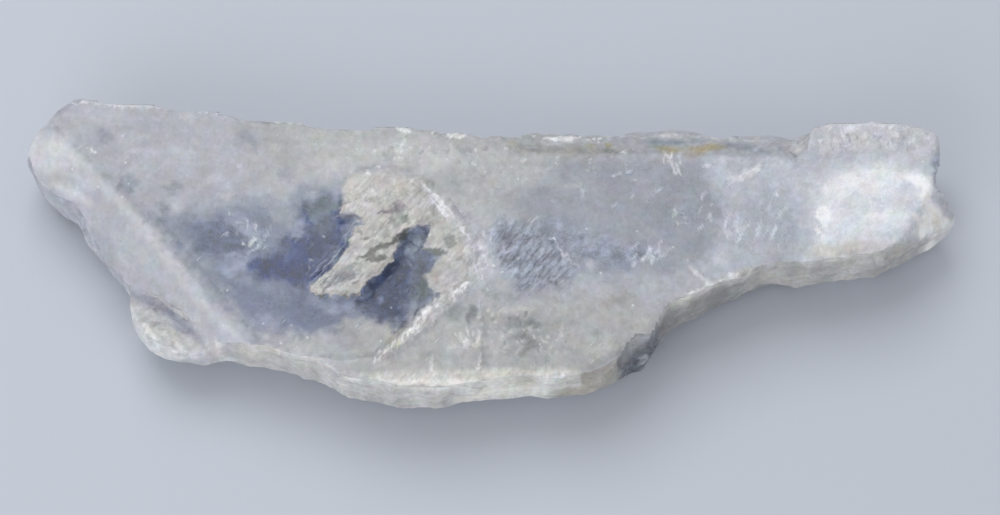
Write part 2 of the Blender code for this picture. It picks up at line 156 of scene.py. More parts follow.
# One light smoothing takes off the steps and burrs that the remesh leaves. The bevel runs
# into the lump, and the notch into the back edge, through soft valleys.
for test, factor, times in (
    (lambda middle, facing: np.ones(len(middle), bool), 0.3, 1),
    (lambda middle, facing: (inside(middle, GROOVE) > 0) & (middle[:, 2] > 4), 0.5, 14),
    (lambda middle, facing: (inside(middle, NOTCH) > 0) & (middle[:, 2] > 6), 0.5, 16),
):
    pick(test)
    bpy.ops.mesh.vertices_smooth(factor=factor, repeat=times)
    bpy.ops.object.mode_set(mode="OBJECT")

# The flat underside needs few faces, and the top many, because its marks are fine.
pick(lambda middle, facing: (facing[:, 2] < -0.98) & (middle[:, 2] < 0.2))
bpy.ops.mesh.decimate(ratio=UNDERSIDE_FACES)
bpy.ops.object.mode_set(mode="OBJECT")
for is_fine in (
    lambda middle, facing: (facing[:, 2] > 0.45) & (middle[:, 2] > 3),
    lambda middle, facing: (facing[:, 2] > 0.2) & (middle[:, 2] > 8)
    & (np.maximum(inside(middle, TORN_AREAS[0]), inside(middle, TORN_AREAS[1])) > 0),
):
    pick(is_fine)
    bpy.ops.mesh.subdivide(number_cuts=1)
    bpy.ops.object.mode_set(mode="OBJECT")

# How far each point faces up near the top, stands in a wall, and faces down.
place, facing = measure(blade.data.vertices, "co")
up = smooth_step(facing[:, 2], 0.35, 0.7) * smooth_step(place[:, 2], 3.5, 5.5)
wall = 1 - smooth_step(np.abs(facing[:, 2]), 0.45, 0.75)
under = smooth_step(-facing[:, 2], 0.3, 0.7)
flat = place * (1, 1, 0)  # the same points without their height


def wander(points, size, seed):
    """A smooth random number for every point, from -1 to 1, the same on every run."""
    return np.array([noise.noise(Vector((p[0] / size, p[1] / size, p[2] / size + seed))) for p in points])


def shake(points, *waves):
    """The points pushed about by waves: how far, how long a wave, and its seeds in x and y."""
    moved = points.copy()
    for reach, size, seed_x, seed_y in waves:
        moved[:, 0] += reach * wander(flat, size, seed_x)
        moved[:, 1] += reach * wander(flat, size, seed_y)
    return moved


# Outlines wander softly (loose, mild), swirl, fray across the grain, or break into spikes
# along it (torn). The gaps are where a lip or a crushed edge has flaked off.
turn = math.radians(GRAIN_TURN)
with_grain = np.array([math.cos(turn), math.sin(turn)])
cross_grain = np.array([-math.sin(turn), math.cos(turn)])
stretched = np.column_stack(
    [place[:, :2] @ with_grain / 4.5, place[:, :2] @ cross_grain, np.zeros(len(place))]
)
spikes = 0.35 * wander(stretched, 0.34, 11) + 0.15 * wander(flat, 0.3, 12)
loose = shake(place, (0.7, 2.2, 3, 7), (0.45, 0.8, 5, 9), (0.2, 0.35, 6, 10))
mild = place + 0.3 * (loose - place)
swirled = shake(loose, (0.9, 1.3, 23, 25), (0.4, 0.45, 24, 26))
torn = place.copy()
torn[:, :2] += spikes[:, None] * with_grain
torn = shake(torn, (0.3, 0.8, 13, 15), (0.1, 0.3, 14, 16))
frayed = mild.copy()
frayed[:, :2] += (0.45 * wander(flat, 1.1, 17) + 0.34 * wander(flat, 0.42, 18))[:, None] * cross_grain
frayed[:, :2] += (0.35 * wander(flat, 0.5, 19))[:, None] * with_grain
gaps = smooth_step(wander(flat, 0.8, 20) + 0.6 * wander(flat, 0.35, 22), -0.1, 0.5)


def srgb(code):
    """A colour written in sRGB, as the linear numbers that light adds up in."""
    parts = np.array([int(code[i:i + 2], 16) for i in (1, 3, 5)]) / 255
    return np.where(parts <= 0.04045, parts / 12.92, ((parts + 0.055) / 1.055) ** 2.4)


# What the blade shows, in the order in which one thing lies over the other. Every row: the
# colour, how strongly it covers, how clear the mineral is there, the width over which it
# fades, its half width (0 for an outline), and its outlines or lines, x and y in turn.
# Soft rows wander, rows that fade over less than 0.5 mm are torn edges, and lines thin out
# to their ends.
# The walls are painted lighter than the top, to make up for the light that their steep faces miss.
WALLS = [
    ("#cfcecb", 1, 0.02, 3, 0, (-60, 30, 60, 30, 60, -30, -60, -30)),
    ("#c3c5ce", 1, 0.03, 3, 0, (-56, 20, -46, 16, -40, 3, -30, -10, -27, -13, -30, -20, -56, -10)),
    ("#d8d8d8", 1, 0, 2, 0, (-42, -6, -38, -5, -28, -11, -24, -20, -44, -16)),
    ("#c2c4c9", 1, 0.03, 3, 0, (-40, 6, 50, 6, 50, 20, -40, 20)),
    ("#b0afac", 1, 0.05, 3, 0, (17, -8, 22, -3, 32, -1.6, 50, 0, 52, -12, 17, -20)),
    ("#a3a3a4", 0.7, 0.1, 2, 1.2, (17, -12, 21, -9, 26, -6.4)),
    ("#919095", 0.7, 0.1, 1.4, 0.8, (22.8, -5.8, 25.6, -4.6)),
    ("#b7b6b6", 0.8, 0.02, 2, 1, (33, -5.4, 38, -4.4, 41, -3.8)),
    # a painted shadow on the facet of the right wall that is turned from the light
    ("#7d7c80", 0.9, 0.04, 1.6, 1.5, (34, -4.2, 36.4, -3.6)),
    ("#c6c4c0", 0.7, 0, 2, 1.2, (39, -2.8, 42, -1.6)),
    # the lug, painted near white so that its steep faces read as lit
    ("#fdfbf7", 1, 0, 1, 0, (46.4, 5, 46.8, -0.4, 48.4, -2.4, 53, -2, 53, 6)),
    ("#bfb9ad", 0.9, 0, 3, 2.5, (7.5, -16.5, 14, -14.5)),
    ("#c3c4c6", 0.9, 0, 1, 0, (30, 8, 30, 13, 35.6, 13, 35.6, 8)),
]
# Painted light: the tops of the walls, lighter where the light from above falls on them.
ARRISES = [
    ("#dad9d5", 1, 0, 2, 0, (17, -9, 22, -3, 32, -1.6, 47, 2, 50, -12, 17, -20)),
    ("#efeee9", 1, 0, 2, 0, (-26, -10, -14, -13, 3, -12, 5, -20, -26, -20)),
]
MILKY = [
    ("#aeb0b8", 1, 0.05, 3, 0, (-52, 18, -24, 16, -22, 6, -30, 3, -36, 0, -46, 12)),
    ("#aeb0b1", 1, 0.05, 3, 0, (-26, 15, 12, 14, 10, 2, -2, 2, -10, 9, -24, 6)),
    ("#afb0b0", 1, 0.04, 3, 0, (-14, -9, -2, -8, 12, -7, 18, -9, 12, -20, -22, -18, -20, -11)),
    ("#969ba6", 0.8, 0.08, 2.5, 0, (8, 8.6, 24, 8.4, 26, 3, 22, -4, 10, -5, 4, -5, 2, 4)),
    ("#b9bdc6", 1, 0.06, 2.5, 0, (22, 9, 38, 9, 38, -1, 30, -4, 22, -5, 25, 2)),
    ("#c6c9d0", 0.8, 0.03, 4, 0, (30, 9, 40, 12, 48, 12, 49, 2, 44, -2, 34, -2)),
    ("#acb3c0", 0.6, 0.1, 2, 0, (28, 3, 32.4, 3.4, 32.6, -1, 30, -2.4)),
    ("#bdbebe", 0.8, 0.03, 2.5, 2.6, (-12, 9.6, -4, 9.2)),
    ("#acadb0", 0.7, 0.05, 1.6, 0, (-26, 13, -23, 12.4, -22, 8, -25.6, 7)),
    ("#bcbebb", 0.6, 0.03, 2, 0, (-20, 11, -12, 11, -12, 8, -18, 7)),
    ("#b9babb", 0.5, 0.03, 1.6, 0, (-6, 10, 2, 10, 4, 6, -2, 4.4)),
    ("#a5a8b0", 0.5, 0.05, 1.6, 0, (-1.4, 5, 3, 4.6, 4, 2.6, 0, 2.4)),
    ("#a2a4a4", 0.7, 0.08, 2.4, 0, (1, -9, 7, -9, 8, -13.6, 2, -14.4)),
    ("#b9bbc0", 0.8, 0.08, 2, 0, (-24, -10.5, -16, -10, -14, -14, -20, -14.6)),
]
# The bevel, painted lighter than the top to make up for the light that its slope misses, with a painted
# highlight band along its arris.
BEVEL = [
    ("#bdbfc6", 1, 0.04, 0.5, 0,
        (-54, 14, -48, 12.6, -45.4, 11, -38, 3, -30, -6, -24, -12, -28, -13, -38, -6, -46, 1, -54, 6)),
    ("#cbcdd2", 0.8, 0.02, 0.9, 0.6,
        (-45.6, 10, -42, 6.6, -39, 3.6, -36, 0.2, -33.2, -3.2, -30.4, -6.8, -27.6, -9.9, -25.2, -12.2)),
    ("#d5d6d8", 0.9, 0, 2, 1.8, (-50.6, 9.6, -48.4, 10, -46.4, 9.4, -44.2, 8.6)),
    ("#dddee0", 0.8, 0, 1, 0.5, (-46.6, 6.6, -44.2, 5.4, -42.5, 4.2)),
    ("#d3d6de", 0.7, 0, 1, 0.5, (-44.4, 7.2, -43.2, 6.4, -42, 5.8)),
    ("#b3b5be", 0.8, 0.04, 1.2, 0.9, (-44.4, 2.4, -41, -0.6, -39.4, -3.4)),
]
# The lump, painted lighter to make up for the shade on its slopes; its near white marks are painted
# highlights on its knobs.
LUMP_MARKS = [
    ("#c8c9c8", 1, 0, 1.2, 0,
        (-39, -5.6, -36.6, -6.4, -32, -10.2, -28.4, -12.4, -27, -15, -36, -15, -41, -9)),
    # painted shade in the valley where the bevel meets the lump
    ("#9294a2", 0.9, 0.08, 1.1, 0.45, (-38.4, -5.2, -36, -6.2, -33.6, -7.9, -31.6, -9.6, -30, -11.3)),
    ("#b3b5b2", 0.7, 0, 0.8, 0.5, (-37.4, -7.6, -36.2, -8.4, -34.4, -9.4)),
    ("#dedfdc", 0.8, 0, 0.5, 0.3, (-38.6, -8.4, -38, -9.8, -36.6, -11.8)),
    ("#e6e6e4", 0.8, 0, 0.6, 0.35, (-36.4, -8.8, -35.4, -10.2, -34.6, -11)),
    ("#e0e0e2", 1, 0, 1, 0.7, (-29.2, -12.6, -27.4, -13.2)),
    ("#f4f4f2", 0.8, 0, 0.5, 0.3, (-32.9, -11, -32.2, -11.6, -31.6, -12.2)),
    ("#eff0f2", 0.8, 0, 0.6, 0.35, (-37.9, -7.4, -37.5, -8.4)),
    ("#b9b9bc", 0.7, 0, 0.6, 0.3, (-38.2, -9.4, -37, -11)),
    ("#bdbcbe", 0.6, 0, 0.6, 0.3, (-34.4, -12.4, -33, -12.8)),
]
BLOTCHES = [
    ("#8f96a4", 0.8, 0.12, 0.7, 0.6, (-41.9, 11.6, -40.4, 11)),
    ("#939aa6", 0.7, 0.12, 0.8, 0.7, (-48.3, 13.9, -47.2, 14.2)),
    ("#868e99", 0.8, 0.15, 0.9, 0.8, (-38.9, 6.4, -37.9, 4.9)),
    ("#8b92a0", 0.8, 0.15, 0.8, 0.6, (-34.6, 5.5, -33, 5)),
    ("#858d9c", 0.7, 0.2, 0.8, 0.6, (-35, 3, -33.6, 2.6)),
    ("#979ba7", 0.7, 0.1, 1, 0.8, (-26.6, 12.2, -25.2, 10)),
    ("#9699a4", 0.6, 0.1, 0.9, 0.7, (-22, 7.8, -21, 6)),
    ("#c3c5cb", 0.5, 0, 0.9, 0.5, (-33.4, 9.6, -31.6, 9.2)),
    ("#c0c2c8", 0.5, 0, 0.9, 0.5, (-30.4, 6.4, -28, 6.2)),
    ("#c5c7cd", 0.5, 0, 0.9, 0.4, (-38, 9.4, -36.2, 9.8)),
    ("#767c82", 0.9, 0.15, 0.8, 0.6, (-2.2, -7.9, -1.6, -8.8, -1.8, -9.8)),
    ("#979a9b", 0.8, 0.1, 0.9, 0.8, (-4.6, -8, -3.2, -9.4)),
    ("#82878a", 0.8, 0.15, 0.9, 0.6, (1.6, -9.6, 3.4, -10.2, 5, -9.9)),
    ("#8a8d8e", 0.8, 0.12, 0.8, 0.5, (2.2, -11.4, 5, -11.8)),
    ("#858385", 0.8, 0.1, 0.5, 0.26, (3.3, -13.3, 4, -12.4, 4.4, -11.6)),
    ("#8b8d8c", 0.7, 0.1, 0.6, 0.35, (10.6, -10.8, 11.6, -11.2)),
    ("#8e9498", 0.7, 0.1, 0.9, 0.5, (35.6, 12, 36.4, 11.7)),
    ("#9ba2b2", 0.7, 0.15, 1.4, 0.9, (20, 2.9, 21.8, 1.9)),
    ("#a3a19f", 0.6, 0, 1.2, 0.6, (11.4, -7.6, 16.4, -7.4)),
    ("#bdbdbb", 0.6, 0, 1.2, 0.8, (8, -8.6, 10.6, -9.2)),
    ("#b9bab9", 0.6, 0, 1.2, 0.8, (-5.6, -11.4, -3.6, -12.6)),
    ("#c2c2bf", 0.7, 0, 0.6, 0.3, (0.4, -8.4, 2.6, -8.6, 4.6, -8.2)),
    ("#bfbfbc", 0.7, 0, 0.6, 0.3, (0.6, -13.6, 1.6, -12.4, 1.8, -11)),
    ("#c4c4c1", 0.6, 0, 0.6, 0.25, (6.2, -12.8, 7.6, -11.2, 8, -9.8)),
    ("#c0bfbb", 0.6, 0, 0.8, 0.4, (10.4, -13.4, 12.4, -12.2)),
    ("#9a9d9f", 0.6, 0.1, 0.8, 0.5, (-7, -13.2, -5.6, -13.8)),
    ("#c3c4c4", 0.6, 0, 0.8, 0.4, (-22.4, -11.8, -20.6, -12.4, -18.6, -12.2)),
    ("#9b9fa9", 0.6, 0.1, 0.8, 0.5, (-25, -12, -23.4, -12.9)),
    ("#c2c4c6", 0.6, 0, 0.8, 0.5, (-16.6, 9.6, -14.4, 9.9, -12.8, 9.3)),
    ("#a0a2a4", 0.6, 0.05, 0.8, 0.5, (-11.6, 9.2, -9.8, 8.6)),
    ("#c4c5c6", 0.6, 0, 0.7, 0.4, (-6.6, 8.2, -4.4, 8.6, -2.6, 8.2)),
    ("#9c9ea0", 0.6, 0.05, 0.8, 0.5, (-3.6, 9.9, -2, 9.5)),
    ("#a1a4a8", 0.6, 0.05, 0.8, 0.5, (5, 7.6, 6.8, 7.9, 8.4, 7.4)),
    ("#bfc1c4", 0.6, 0, 0.8, 0.4, (7.4, 5.2, 9.6, 5.6)),
]
# The clear windows are painted dark blue-grey: the painted dark of what shows through them, not a colour of
# the mineral.
WINDOWS = [
    ("#808a9d", 1, 0.12, 3, 0, (-35.4, 1.8, -31, 2.8, -28, 3.6, -25, 4.2, -22, 3.2, -19.8, 5, -16, 5.4,
        -13, 3, -12, -7, -14, -8.6, -19, -9.6, -24, -10.4, -27.6, -7.2, -29.6, -4.7, -32.4, -1.7)),
    ("#586683", 0.9, 0.2, 1.6, 0,
        (-31.5, 0.4, -29, 1.6, -26.6, 1.4, -25.6, -0.6, -26.4, -2.6, -28.6, -3, -31, -1.6)),
    ("#13326c", 0.95, 0.22, 1.8, 0, (-20, 3.6, -17.4, 4.2, -15.4, 3, -15, -1.4, -17.4, -5, -20, -7,
        -22, -5.4, -24.6, -4.8, -25, -2.8, -22.4, -1.8, -20.4, 0)),
    ("#182b5e", 0.8, 0.25, 1, 0.7, (-24.2, -3.3, -23, -3.6, -21.6, -3.2, -20, -4.6)),
    ("#3a4a70", 0.7, 0.25, 1.2, 0.8, (-18.4, 0.6, -17.2, -1.2, -18.6, -3.6)),
    ("#65757f", 0.9, 0.2, 1.2, 1.3, (-19, 3.6, -17.8, 2.9, -16.2, 3.6)),
    ("#68768a", 0.8, 0.2, 1.6, 1.3, (-18.6, 2, -16.8, 0.8)),
    ("#a3adbb", 0.6, 0.05, 0.8, 0.6, (-26.6, 1.4, -25.2, 0.2, -24.8, -1.2)),
    ("#8b93a2", 0.8, 0.1, 1, 0.5, (-19.6, 4.7, -18.6, 4.4)),
    ("#a3adc0", 0.8, 0.1, 1.6, 0.9, (-20.8, 1, -19.6, 0.4)),
    ("#727e99", 0.5, 0.15, 1.4, 0.7, (-21.6, -1.6, -20.6, -2)),
    ("#8a93a8", 0.6, 0.12, 1.8, 0.9, (-21, -6.1, -19.4, -6.6)),
    ("#6d7388", 0.7, 0.2, 0.6, 0.4, (-17.9, -0.2, -17.3, 0.3)),
    ("#6f7994", 0.7, 0.2, 1, 0.5, (-16.8, -2.4, -16, -1.8)),
    ("#717b96", 0.9, 0.12, 1.8, 0,
        (-28.8, -4.6, -24, -6.2, -18, -7.6, -13.4, -9, -15.6, -10.4, -22.6, -11, -26.4, -8)),
    ("#9aa2b6", 0.9, 0.1, 1.4, 0.9, (-18, -7.3, -15.8, -7.5, -14, -7.8)),
    ("#9aa0b4", 0.7, 0.1, 1.5, 0.9, (-24.6, -9.4, -21.4, -10.6)),
    ("#a7abb6", 0.8, 0.08, 1.3, 0.8, (-23, 3.2, -21.8, 1.8, -21.4, 0.4)),
    ("#9aa2ba", 0.8, 0.1, 0.8, 0.45, (-28.2, -4.2, -26, -3.6, -24.8, -2.6)),
    ("#9aa1b6", 0.7, 0.1, 0.6, 0.3, (-29.6, -2.2, -27.4, -2.6, -26, -2.2)),
    ("#98a0b4", 0.7, 0.1, 1, 0.8, (-27.4, 2.2, -26.2, 0.9, -25.4, 0.4)),
    ("#737c96", 0.8, 0.2, 0.8, 0.5, (-24.2, 1.4, -23.6, 0.2, -23.2, -0.8)),
    ("#8b92a6", 0.7, 0.1, 0.8, 0.5, (-30.6, 2, -29.4, 1.4)),
    # the window on the right, under the torn layer
    ("#646e88", 1, 0.25, 1.6, 0, (-13.4, -5, -9.6, -1, -8.4, 0.8, -7.4, 1.1, -6.4, 0.6, -5.4, -1.8,
        -5, -5.6, -5.8, -7.4, -7.6, -9, -9.4, -9.8, -11.6, -9.8, -13.6, -8.6)),
    ("#344366", 0.95, 0.22, 1.4, 0, (-12.8, -5.4, -11.2, -4.2, -10, -3, -8.6, -2.6, -8.6, -4.6, -8.2, -7.6,
        -9, -9, -11, -9.2, -12.6, -8.2)),
    ("#55637a", 0.8, 0.25, 0.8, 0.7, (-7.9, -3, -6.8, -3.4)),
    ("#5a686e", 0.9, 0.2, 0.8, 0.7, (-7.6, -5.2, -7.2, -6.4, -7.8, -7.8)),
    ("#848e98", 0.7, 0.1, 0.5, 0.3, (-7, -6.6, -7.4, -7.8, -8.2, -8.8)),
    ("#71808a", 0.7, 0.15, 0.5, 0.3, (-6.5, -6.2, -6.9, -7.2)),
    ("#6f7c94", 0.8, 0.2, 0.8, 0.5, (-9.4, -2, -8.2, -2.4)),
    ("#7f8b9c", 0.9, 0.15, 0.7, 0.6, (-7.8, 0.3, -7.5, -0.9)),
    ("#8a94a4", 0.8, 0.1, 0.9, 0.6, (-8.6, -1.4, -7.6, -2.2)),
    ("#727b94", 0.7, 0.15, 1, 0.6, (-9.4, -7.6, -8.4, -8.4)),
    ("#aab4c4", 0.7, 0.05, 0.4, 0.16, (-7.3, -0.2, -7.5, -1.2)),
    ("#a2afc0", 0.7, 0.05, 0.4, 0.14, (-7.8, -1.6, -7.7, -2.1)),
    ("#98a4b8", 0.7, 0.1, 0.4, 0.14, (-9.1, -3.3, -8.8, -3.8)),
    ("#7d88a6", 0.7, 0.2, 0.6, 0.3, (-11.2, -6.9, -11.3, -7.4)),
]
HAZE = [
    # the torn layer's haze, and its right arm, which is thin enough to show what lies under it
    ("#c3c2bf", 0.85, 0.02, 1.4, 0, (-15.4, 5, -15, 6.4, -13.2, 7.2, -12, 7.6, -9, 6.9, -6.6, 5.6,
        -4.6, 3.6, -3.2, 1.4, -2, -0.6, -1.2, -3, -2, -5.2, -4, -6.6, -5, -5.6, -5.4, -2, -6, 1.6, -12, 2)),
    ("#c7c5c1", 0.9, 0, 0.9, 0,
        (-15.6, 3.2, -15.6, 4.8, -14.6, 6.3, -12.4, 6.9, -9, 6, -6.4, 4.6, -5.6, 2.4, -9, 1.6)),
    ("#c3c2bf", 0.85, 0, 0.3, 0, (-6.4, 0.3, -5.6, 2.2, -3.4, 1.8, -1.6, -1.2, -1.2, -4.4, -3.4, -6.4,
        -5, -6.8, -5.7, -6.2, -6.4, -5.7, -6.85, -5, -6.95, -4.4, -6.15, -4, -5.9, -3.2, -5.4, -2.6,
        -4.25, -2.1, -5.6, -1.9, -7.1, -1.5, -7.1, -0.9, -6.5, -0.2)),
]
TEAR = [
    # the torn layer that stands proud, and the lighter and greyer clouds in it
    ("#c9c7c3", 0.95, 0, 0.2, 0, (-15.2, 4.2, -14, 4.6, -12, 4, -9.6, 4.4, -6.9, 4.2, -5.7, 2.4, -5.9, 1.2,
        -7, 1.1, -8.4, 0.7, -9.2, -0.2, -9.9, -1.6, -10.1, -2.9, -11.2, -4.1, -12.6, -5.2, -13.1, -5.9,
        -13.6, -6.8, -15.1, -6.95, -16.7, -6.9, -18.6, -6.6, -18.9, -6, -18.4, -5.5, -16.9, -4.2, -15.7, -3,
        -14.85, -1.5, -14.2, 0.8, -13, 1.1, -14.5, 1.9, -15.8, 2.1, -15.7, 2.7, -15.1, 3.8)),
    ("#cfcec9", 0.7, 0, 0.9, 0.9, (-14.4, 5.6, -13.8, 4.4, -14.2, 3)),
    ("#cbcac8", 0.7, 0, 0.8, 0.6, (-13, 3.4, -11.4, 2.4, -10.6, 3.8)),
    ("#d2cfcf", 0.6, 0, 0.6, 0.5, (-12.8, 5.6, -12.2, 4.4)),
    ("#a9aaa2", 0.6, 0.02, 0.8, 0.6, (-9.8, 4.6, -8.6, 4.4)),
    ("#9e9c98", 0.6, 0.02, 0.8, 0.5, (-8.4, 5.3, -7.2, 5, -6.6, 4)),
    ("#d0cfcd", 0.6, 0, 0.7, 0.5, (-7.6, 3.8, -6.6, 2.4)),
    ("#8f8c90", 0.9, 0.03, 0.5, 0.35, (-11.6, 2.2, -10.5, 2.9, -9.6, 3.2, -8.6, 2.8)),
    ("#989699", 0.7, 0.03, 0.5, 0.35, (-10.4, 2.5, -9, 2.5)),
    ("#a5aca6", 0.9, 0.05, 0.6, 0.6, (-11, 1.6, -9.9, 1.6, -8.8, 1.9)),
    ("#747874", 0.8, 0.1, 0.3, 0.2, (-9.4, 1.3, -8.9, 1.5, -8.5, 2.1)),
    ("#b9b8b2", 0.7, 0, 0.6, 0.5, (-11.6, 0.4, -10, 0.2)),
    ("#d0cfca", 0.8, 0, 0.4, 0.2, (-12.6, 0.6, -12, 1.4, -11.2, 1.8)),
    ("#d6d5d0", 0.7, 0, 0.4, 0.16, (-9.6, 0.2, -8.8, 0.9, -8, 1.4)),
    ("#8a8b84", 0.8, 0.08, 0.35, 0.22, (-13.8, 0.2, -13.3, 0)),
    ("#7b7b79", 0.9, 0.08, 0.3, 0.2, (-13.5, -0.6, -12.7, -0.6)),
    ("#b9aeb0", 0.6, 0, 0.5, 0.3, (-13.4, -1.4, -12.2, -1)),
    ("#cac9c4", 0.7, 0, 0.6, 0.4, (-12.4, -0.2, -11.2, -0.8)),
    ("#8d9a80", 0.6, 0.05, 0.4, 0.2, (-14.6, -0.4, -14.9, -1.4)),
    ("#8f9195", 0.75, 0, 0.6, 0.8, (-17, -5.7, -15.4, -5, -14, -4.6)),
    ("#9c9d9a", 0.6, 0.03, 0.4, 0.22, (-13, -5, -12, -4.2, -11.2, -3.6)),
    ("#98999a", 0.7, 0.03, 0.35, 0.16, (-16.6, -3.9, -15.6, -4.9, -15.2, -5.8)),
    # the pits along its lower side
    ("#5f625c", 0.9, 0.12, 0.3, 0.34, (-13.5, -2.7, -12.6, -2.4, -11.9, -1.8, -11, -1.4, -10.2, -1.1)),
    ("#666863", 0.9, 0.12, 0.3, 0.42, (-12.9, -3, -12, -2.9, -11, -2.6)),
    ("#565a57", 0.9, 0.15, 0.3, 0.36, (-10.6, -1.3, -9.6, -0.6, -9, 0.1, -8.4, 0.7)),
    ("#4f5458", 0.8, 0.15, 0.3, 0.2, (-9.4, -0.6, -9, 0.3)),
    ("#c9c8c0", 0.9, 0, 0.2, 0.12, (-11.5, -2.3, -11.1, -2.2)),
    ("#bdbcb4", 0.9, 0, 0.2, 0.1, (-12.4, -2.9, -12, -3.2)),
    ("#b4b3ac", 0.9, 0, 0.2, 0.09, (-12.2, -2.2, -11.8, -2.6)),
    ("#a9a8a0", 0.9, 0, 0.2, 0.08, (-10, -0.4, -9.6, -0.9)),
    ("#c4c3bd", 0.8, 0, 0.4, 0.22, (-12.6, -3.8, -11.2, -3.4, -10.3, -2.6)),
    ("#7e8a8a", 0.8, 0.1, 0.4, 0.24, (-15.6, -4.1, -14.8, -3.9, -14.1, -3.9)),
    ("#969b9c", 0.7, 0.05, 0.4, 0.3, (-14.2, -3.4, -13.6, -3.4)),
    ("#c9c9ce", 0.6, 0, 0.4, 0.3, (-15.6, -3.4, -14.6, -2.4)),
    ("#8b8b8d", 0.8, 0, 0.2, 0.09, (-17.4, -5.5, -16.4, -5.6)),
    ("#85868a", 0.7, 0, 0.2, 0.08, (-15.8, -5.2, -14.6, -4.8)),
    ("#8e8f92", 0.7, 0, 0.3, 0.12, (-14.6, -5.8, -13.6, -5.4)),
    ("#dcdcdb", 0.8, 0, 0.3, 0.14, (-17.6, -6.1, -16, -6.2, -14.4, -6.2)),
    ("#dddddf", 0.8, 0, 0.25, 0.12, (-17.4, -4.9, -16.4, -4.7)),
    ("#77706f", 0.8, 0.05, 0.2, 0.12, (-17.9, -6.9, -16.8, -6.8), (-15.4, -6.9, -14.9, -6.7),
        (-14.3, -6.9, -13.7, -6.6)),
    # the right arm, and the halo round it
    ("#d4d3d1", 0.7, 0, 0.5, 0.26, (-6.9, -1.1, -5.8, -1.3, -4.9, -1.2)),
    ("#f0f0f2", 0.9, 0, 0.3, 0.12, (-6.3, 0.4, -6.25, -0.2)),
    ("#8e8e90", 0.8, 0.03, 0.4, 0.18, (-4.9, -0.5, -4.4, -0.1, -3.8, -0.1, -3.3, -0.5)),
    ("#9da29c", 0.8, 0.03, 0.5, 0.3, (-4.6, -0.9, -3.4, -1)),
    ("#8f8f90", 0.7, 0.03, 0.4, 0.14, (-3.6, -2.6, -2.9, -2.4)),
    ("#c2b6b0", 0.6, 0, 0.8, 0.5, (-6, -4.6, -5.2, -4.2)),
    ("#c8c7cb", 0.7, 0, 0.8, 0.6, (-4.8, -3.4, -4, -4.6, -4.4, -5.6)),
    ("#d6d6da", 0.7, 0, 0.5, 0.24, (-3.3, -3.8, -3.2, -4.6)),
    ("#cbcdd4", 0.7, 0, 1.2, 0.8, (-2.2, 0.2, -1.6, -1.4, -0.6, -3, -0.8, -5)),
    ("#b3bac6", 0.6, 0.05, 1, 0.6, (-1.2, 0, 0.4, -1.6, 0.8, -3)),
    ("#a9b4c0", 0.7, 0.08, 1, 0.6, (1.6, -3.8, 2, -5.2)),
    ("#a6aea8", 0.6, 0.04, 1, 0.6, (-0.4, -6.2, 0.6, -7.4)),
    ("#bfc0c2", 0.7, 0, 1.6, 0.7, (-3.2, 1.4, -2, -0.6, -1.6, -2.6, -1.6, -4.6, -2.4, -5.8)),
    ("#6a706c", 0.9, 0.1, 0.4, 0.32, (-7, -1.4, -5.8, -1.7, -4.6, -1.9)),
    ("#656d70", 0.7, 0.12, 0.6, 0.35, (-6.9, -4.2, -7.2, -5.4, -6.6, -6.4)),
]
LIPS = [
    # the bright lips where the torn layer ends
    ("#cfcfd1", 0.9, 0, 0.6, 0.55,
        (-7.8, 6.2, -6.6, 5, -5.2, 3.6, -4.2, 2.4, -3.4, 1.2, -2.6, 0.1, -1.8, -0.9)),
    ("#f0f1f4", 0.9, 0, 0.3, 0.22, (-7.2, 5.65, -6.3, 4.75, -5.6, 4.1, -4.85, 3.45, -3.9, 2.3)),
    ("#f2f3f6", 1, 0, 0.3, 0.18, (-5.9, 3.6, -5, 2.6, -4.4, 2)),
    ("#f4f5f8", 1, 0, 0.3, 0.2, (-3.5, 1, -2.7, 0.3, -2.4, -0.2)),
    ("#999ba6", 0.6, 0.05, 0.5, 0.2, (-4.3, 4, -3.4, 2.8, -2.8, 1.8)),
    ("#c4c4c2", 0.9, 0, 0.6, 0.85, (-1.8, -5.4, -3.6, -6.7, -5.5, -8.1, -6.6, -9.2, -7.6, -10.2,
        -8.6, -11.2, -9.6, -12.2, -10.8, -13.2, -11.8, -14.2)),
    ("#e4e4e4", 0.8, 0, 0.4, 0.28,
        (-2.2, -5.4, -3.6, -6.4, -5, -7.1, -6.2, -8.1, -7, -9.2, -8.4, -10.6, -9.6, -11.8, -10.8, -12.8)),
    ("#f6f7fa", 0.9, 0, 0.3, 0.24, (-2.9, -5.9, -2.2, -5.3)),
    ("#f4f5f7", 0.9, 0, 0.3, 0.14, (-3.6, -6.2, -3.4, -6.8)),
    ("#f6f6f6", 0.9, 0, 0.3, 0.2, (-6.9, -8.9, -6.4, -8.5)),
    ("#d6cfd2", 0.7, 0, 0.5, 0.4, (-6.6, -9.6, -5.8, -9.2)),
    ("#f2f2f0", 0.9, 0, 0.3, 0.16, (-8.8, -10.8, -8, -10.3)),
    ("#cfccb4", 0.7, 0, 0.5, 0.4, (-10.2, -12.4, -9.4, -11.8)),
    ("#f2f1ec", 0.9, 0, 0.3, 0.16, (-11, -13.2, -10.4, -12.5)),
    ("#9c9a9c", 0.7, 0, 0.3, 0.12, (-10.4, -10.4, -9.6, -10.8)),
    ("#8f8f90", 0.7, 0, 0.25, 0.08, (-9.2, -9.8, -8.4, -9.2), (-8.6, -10.4, -7.8, -9.6)),
    ("#84869a", 0.9, 0.1, 0.4, 0.3, (-16.3, 1.8, -15.2, 2.1, -14.2, 1.9, -13.3, 1.2)),
    ("#6f6f76", 0.8, 0.1, 0.25, 0.12, (-15.6, 2, -14.6, 2, -13.6, 1.5)),
]
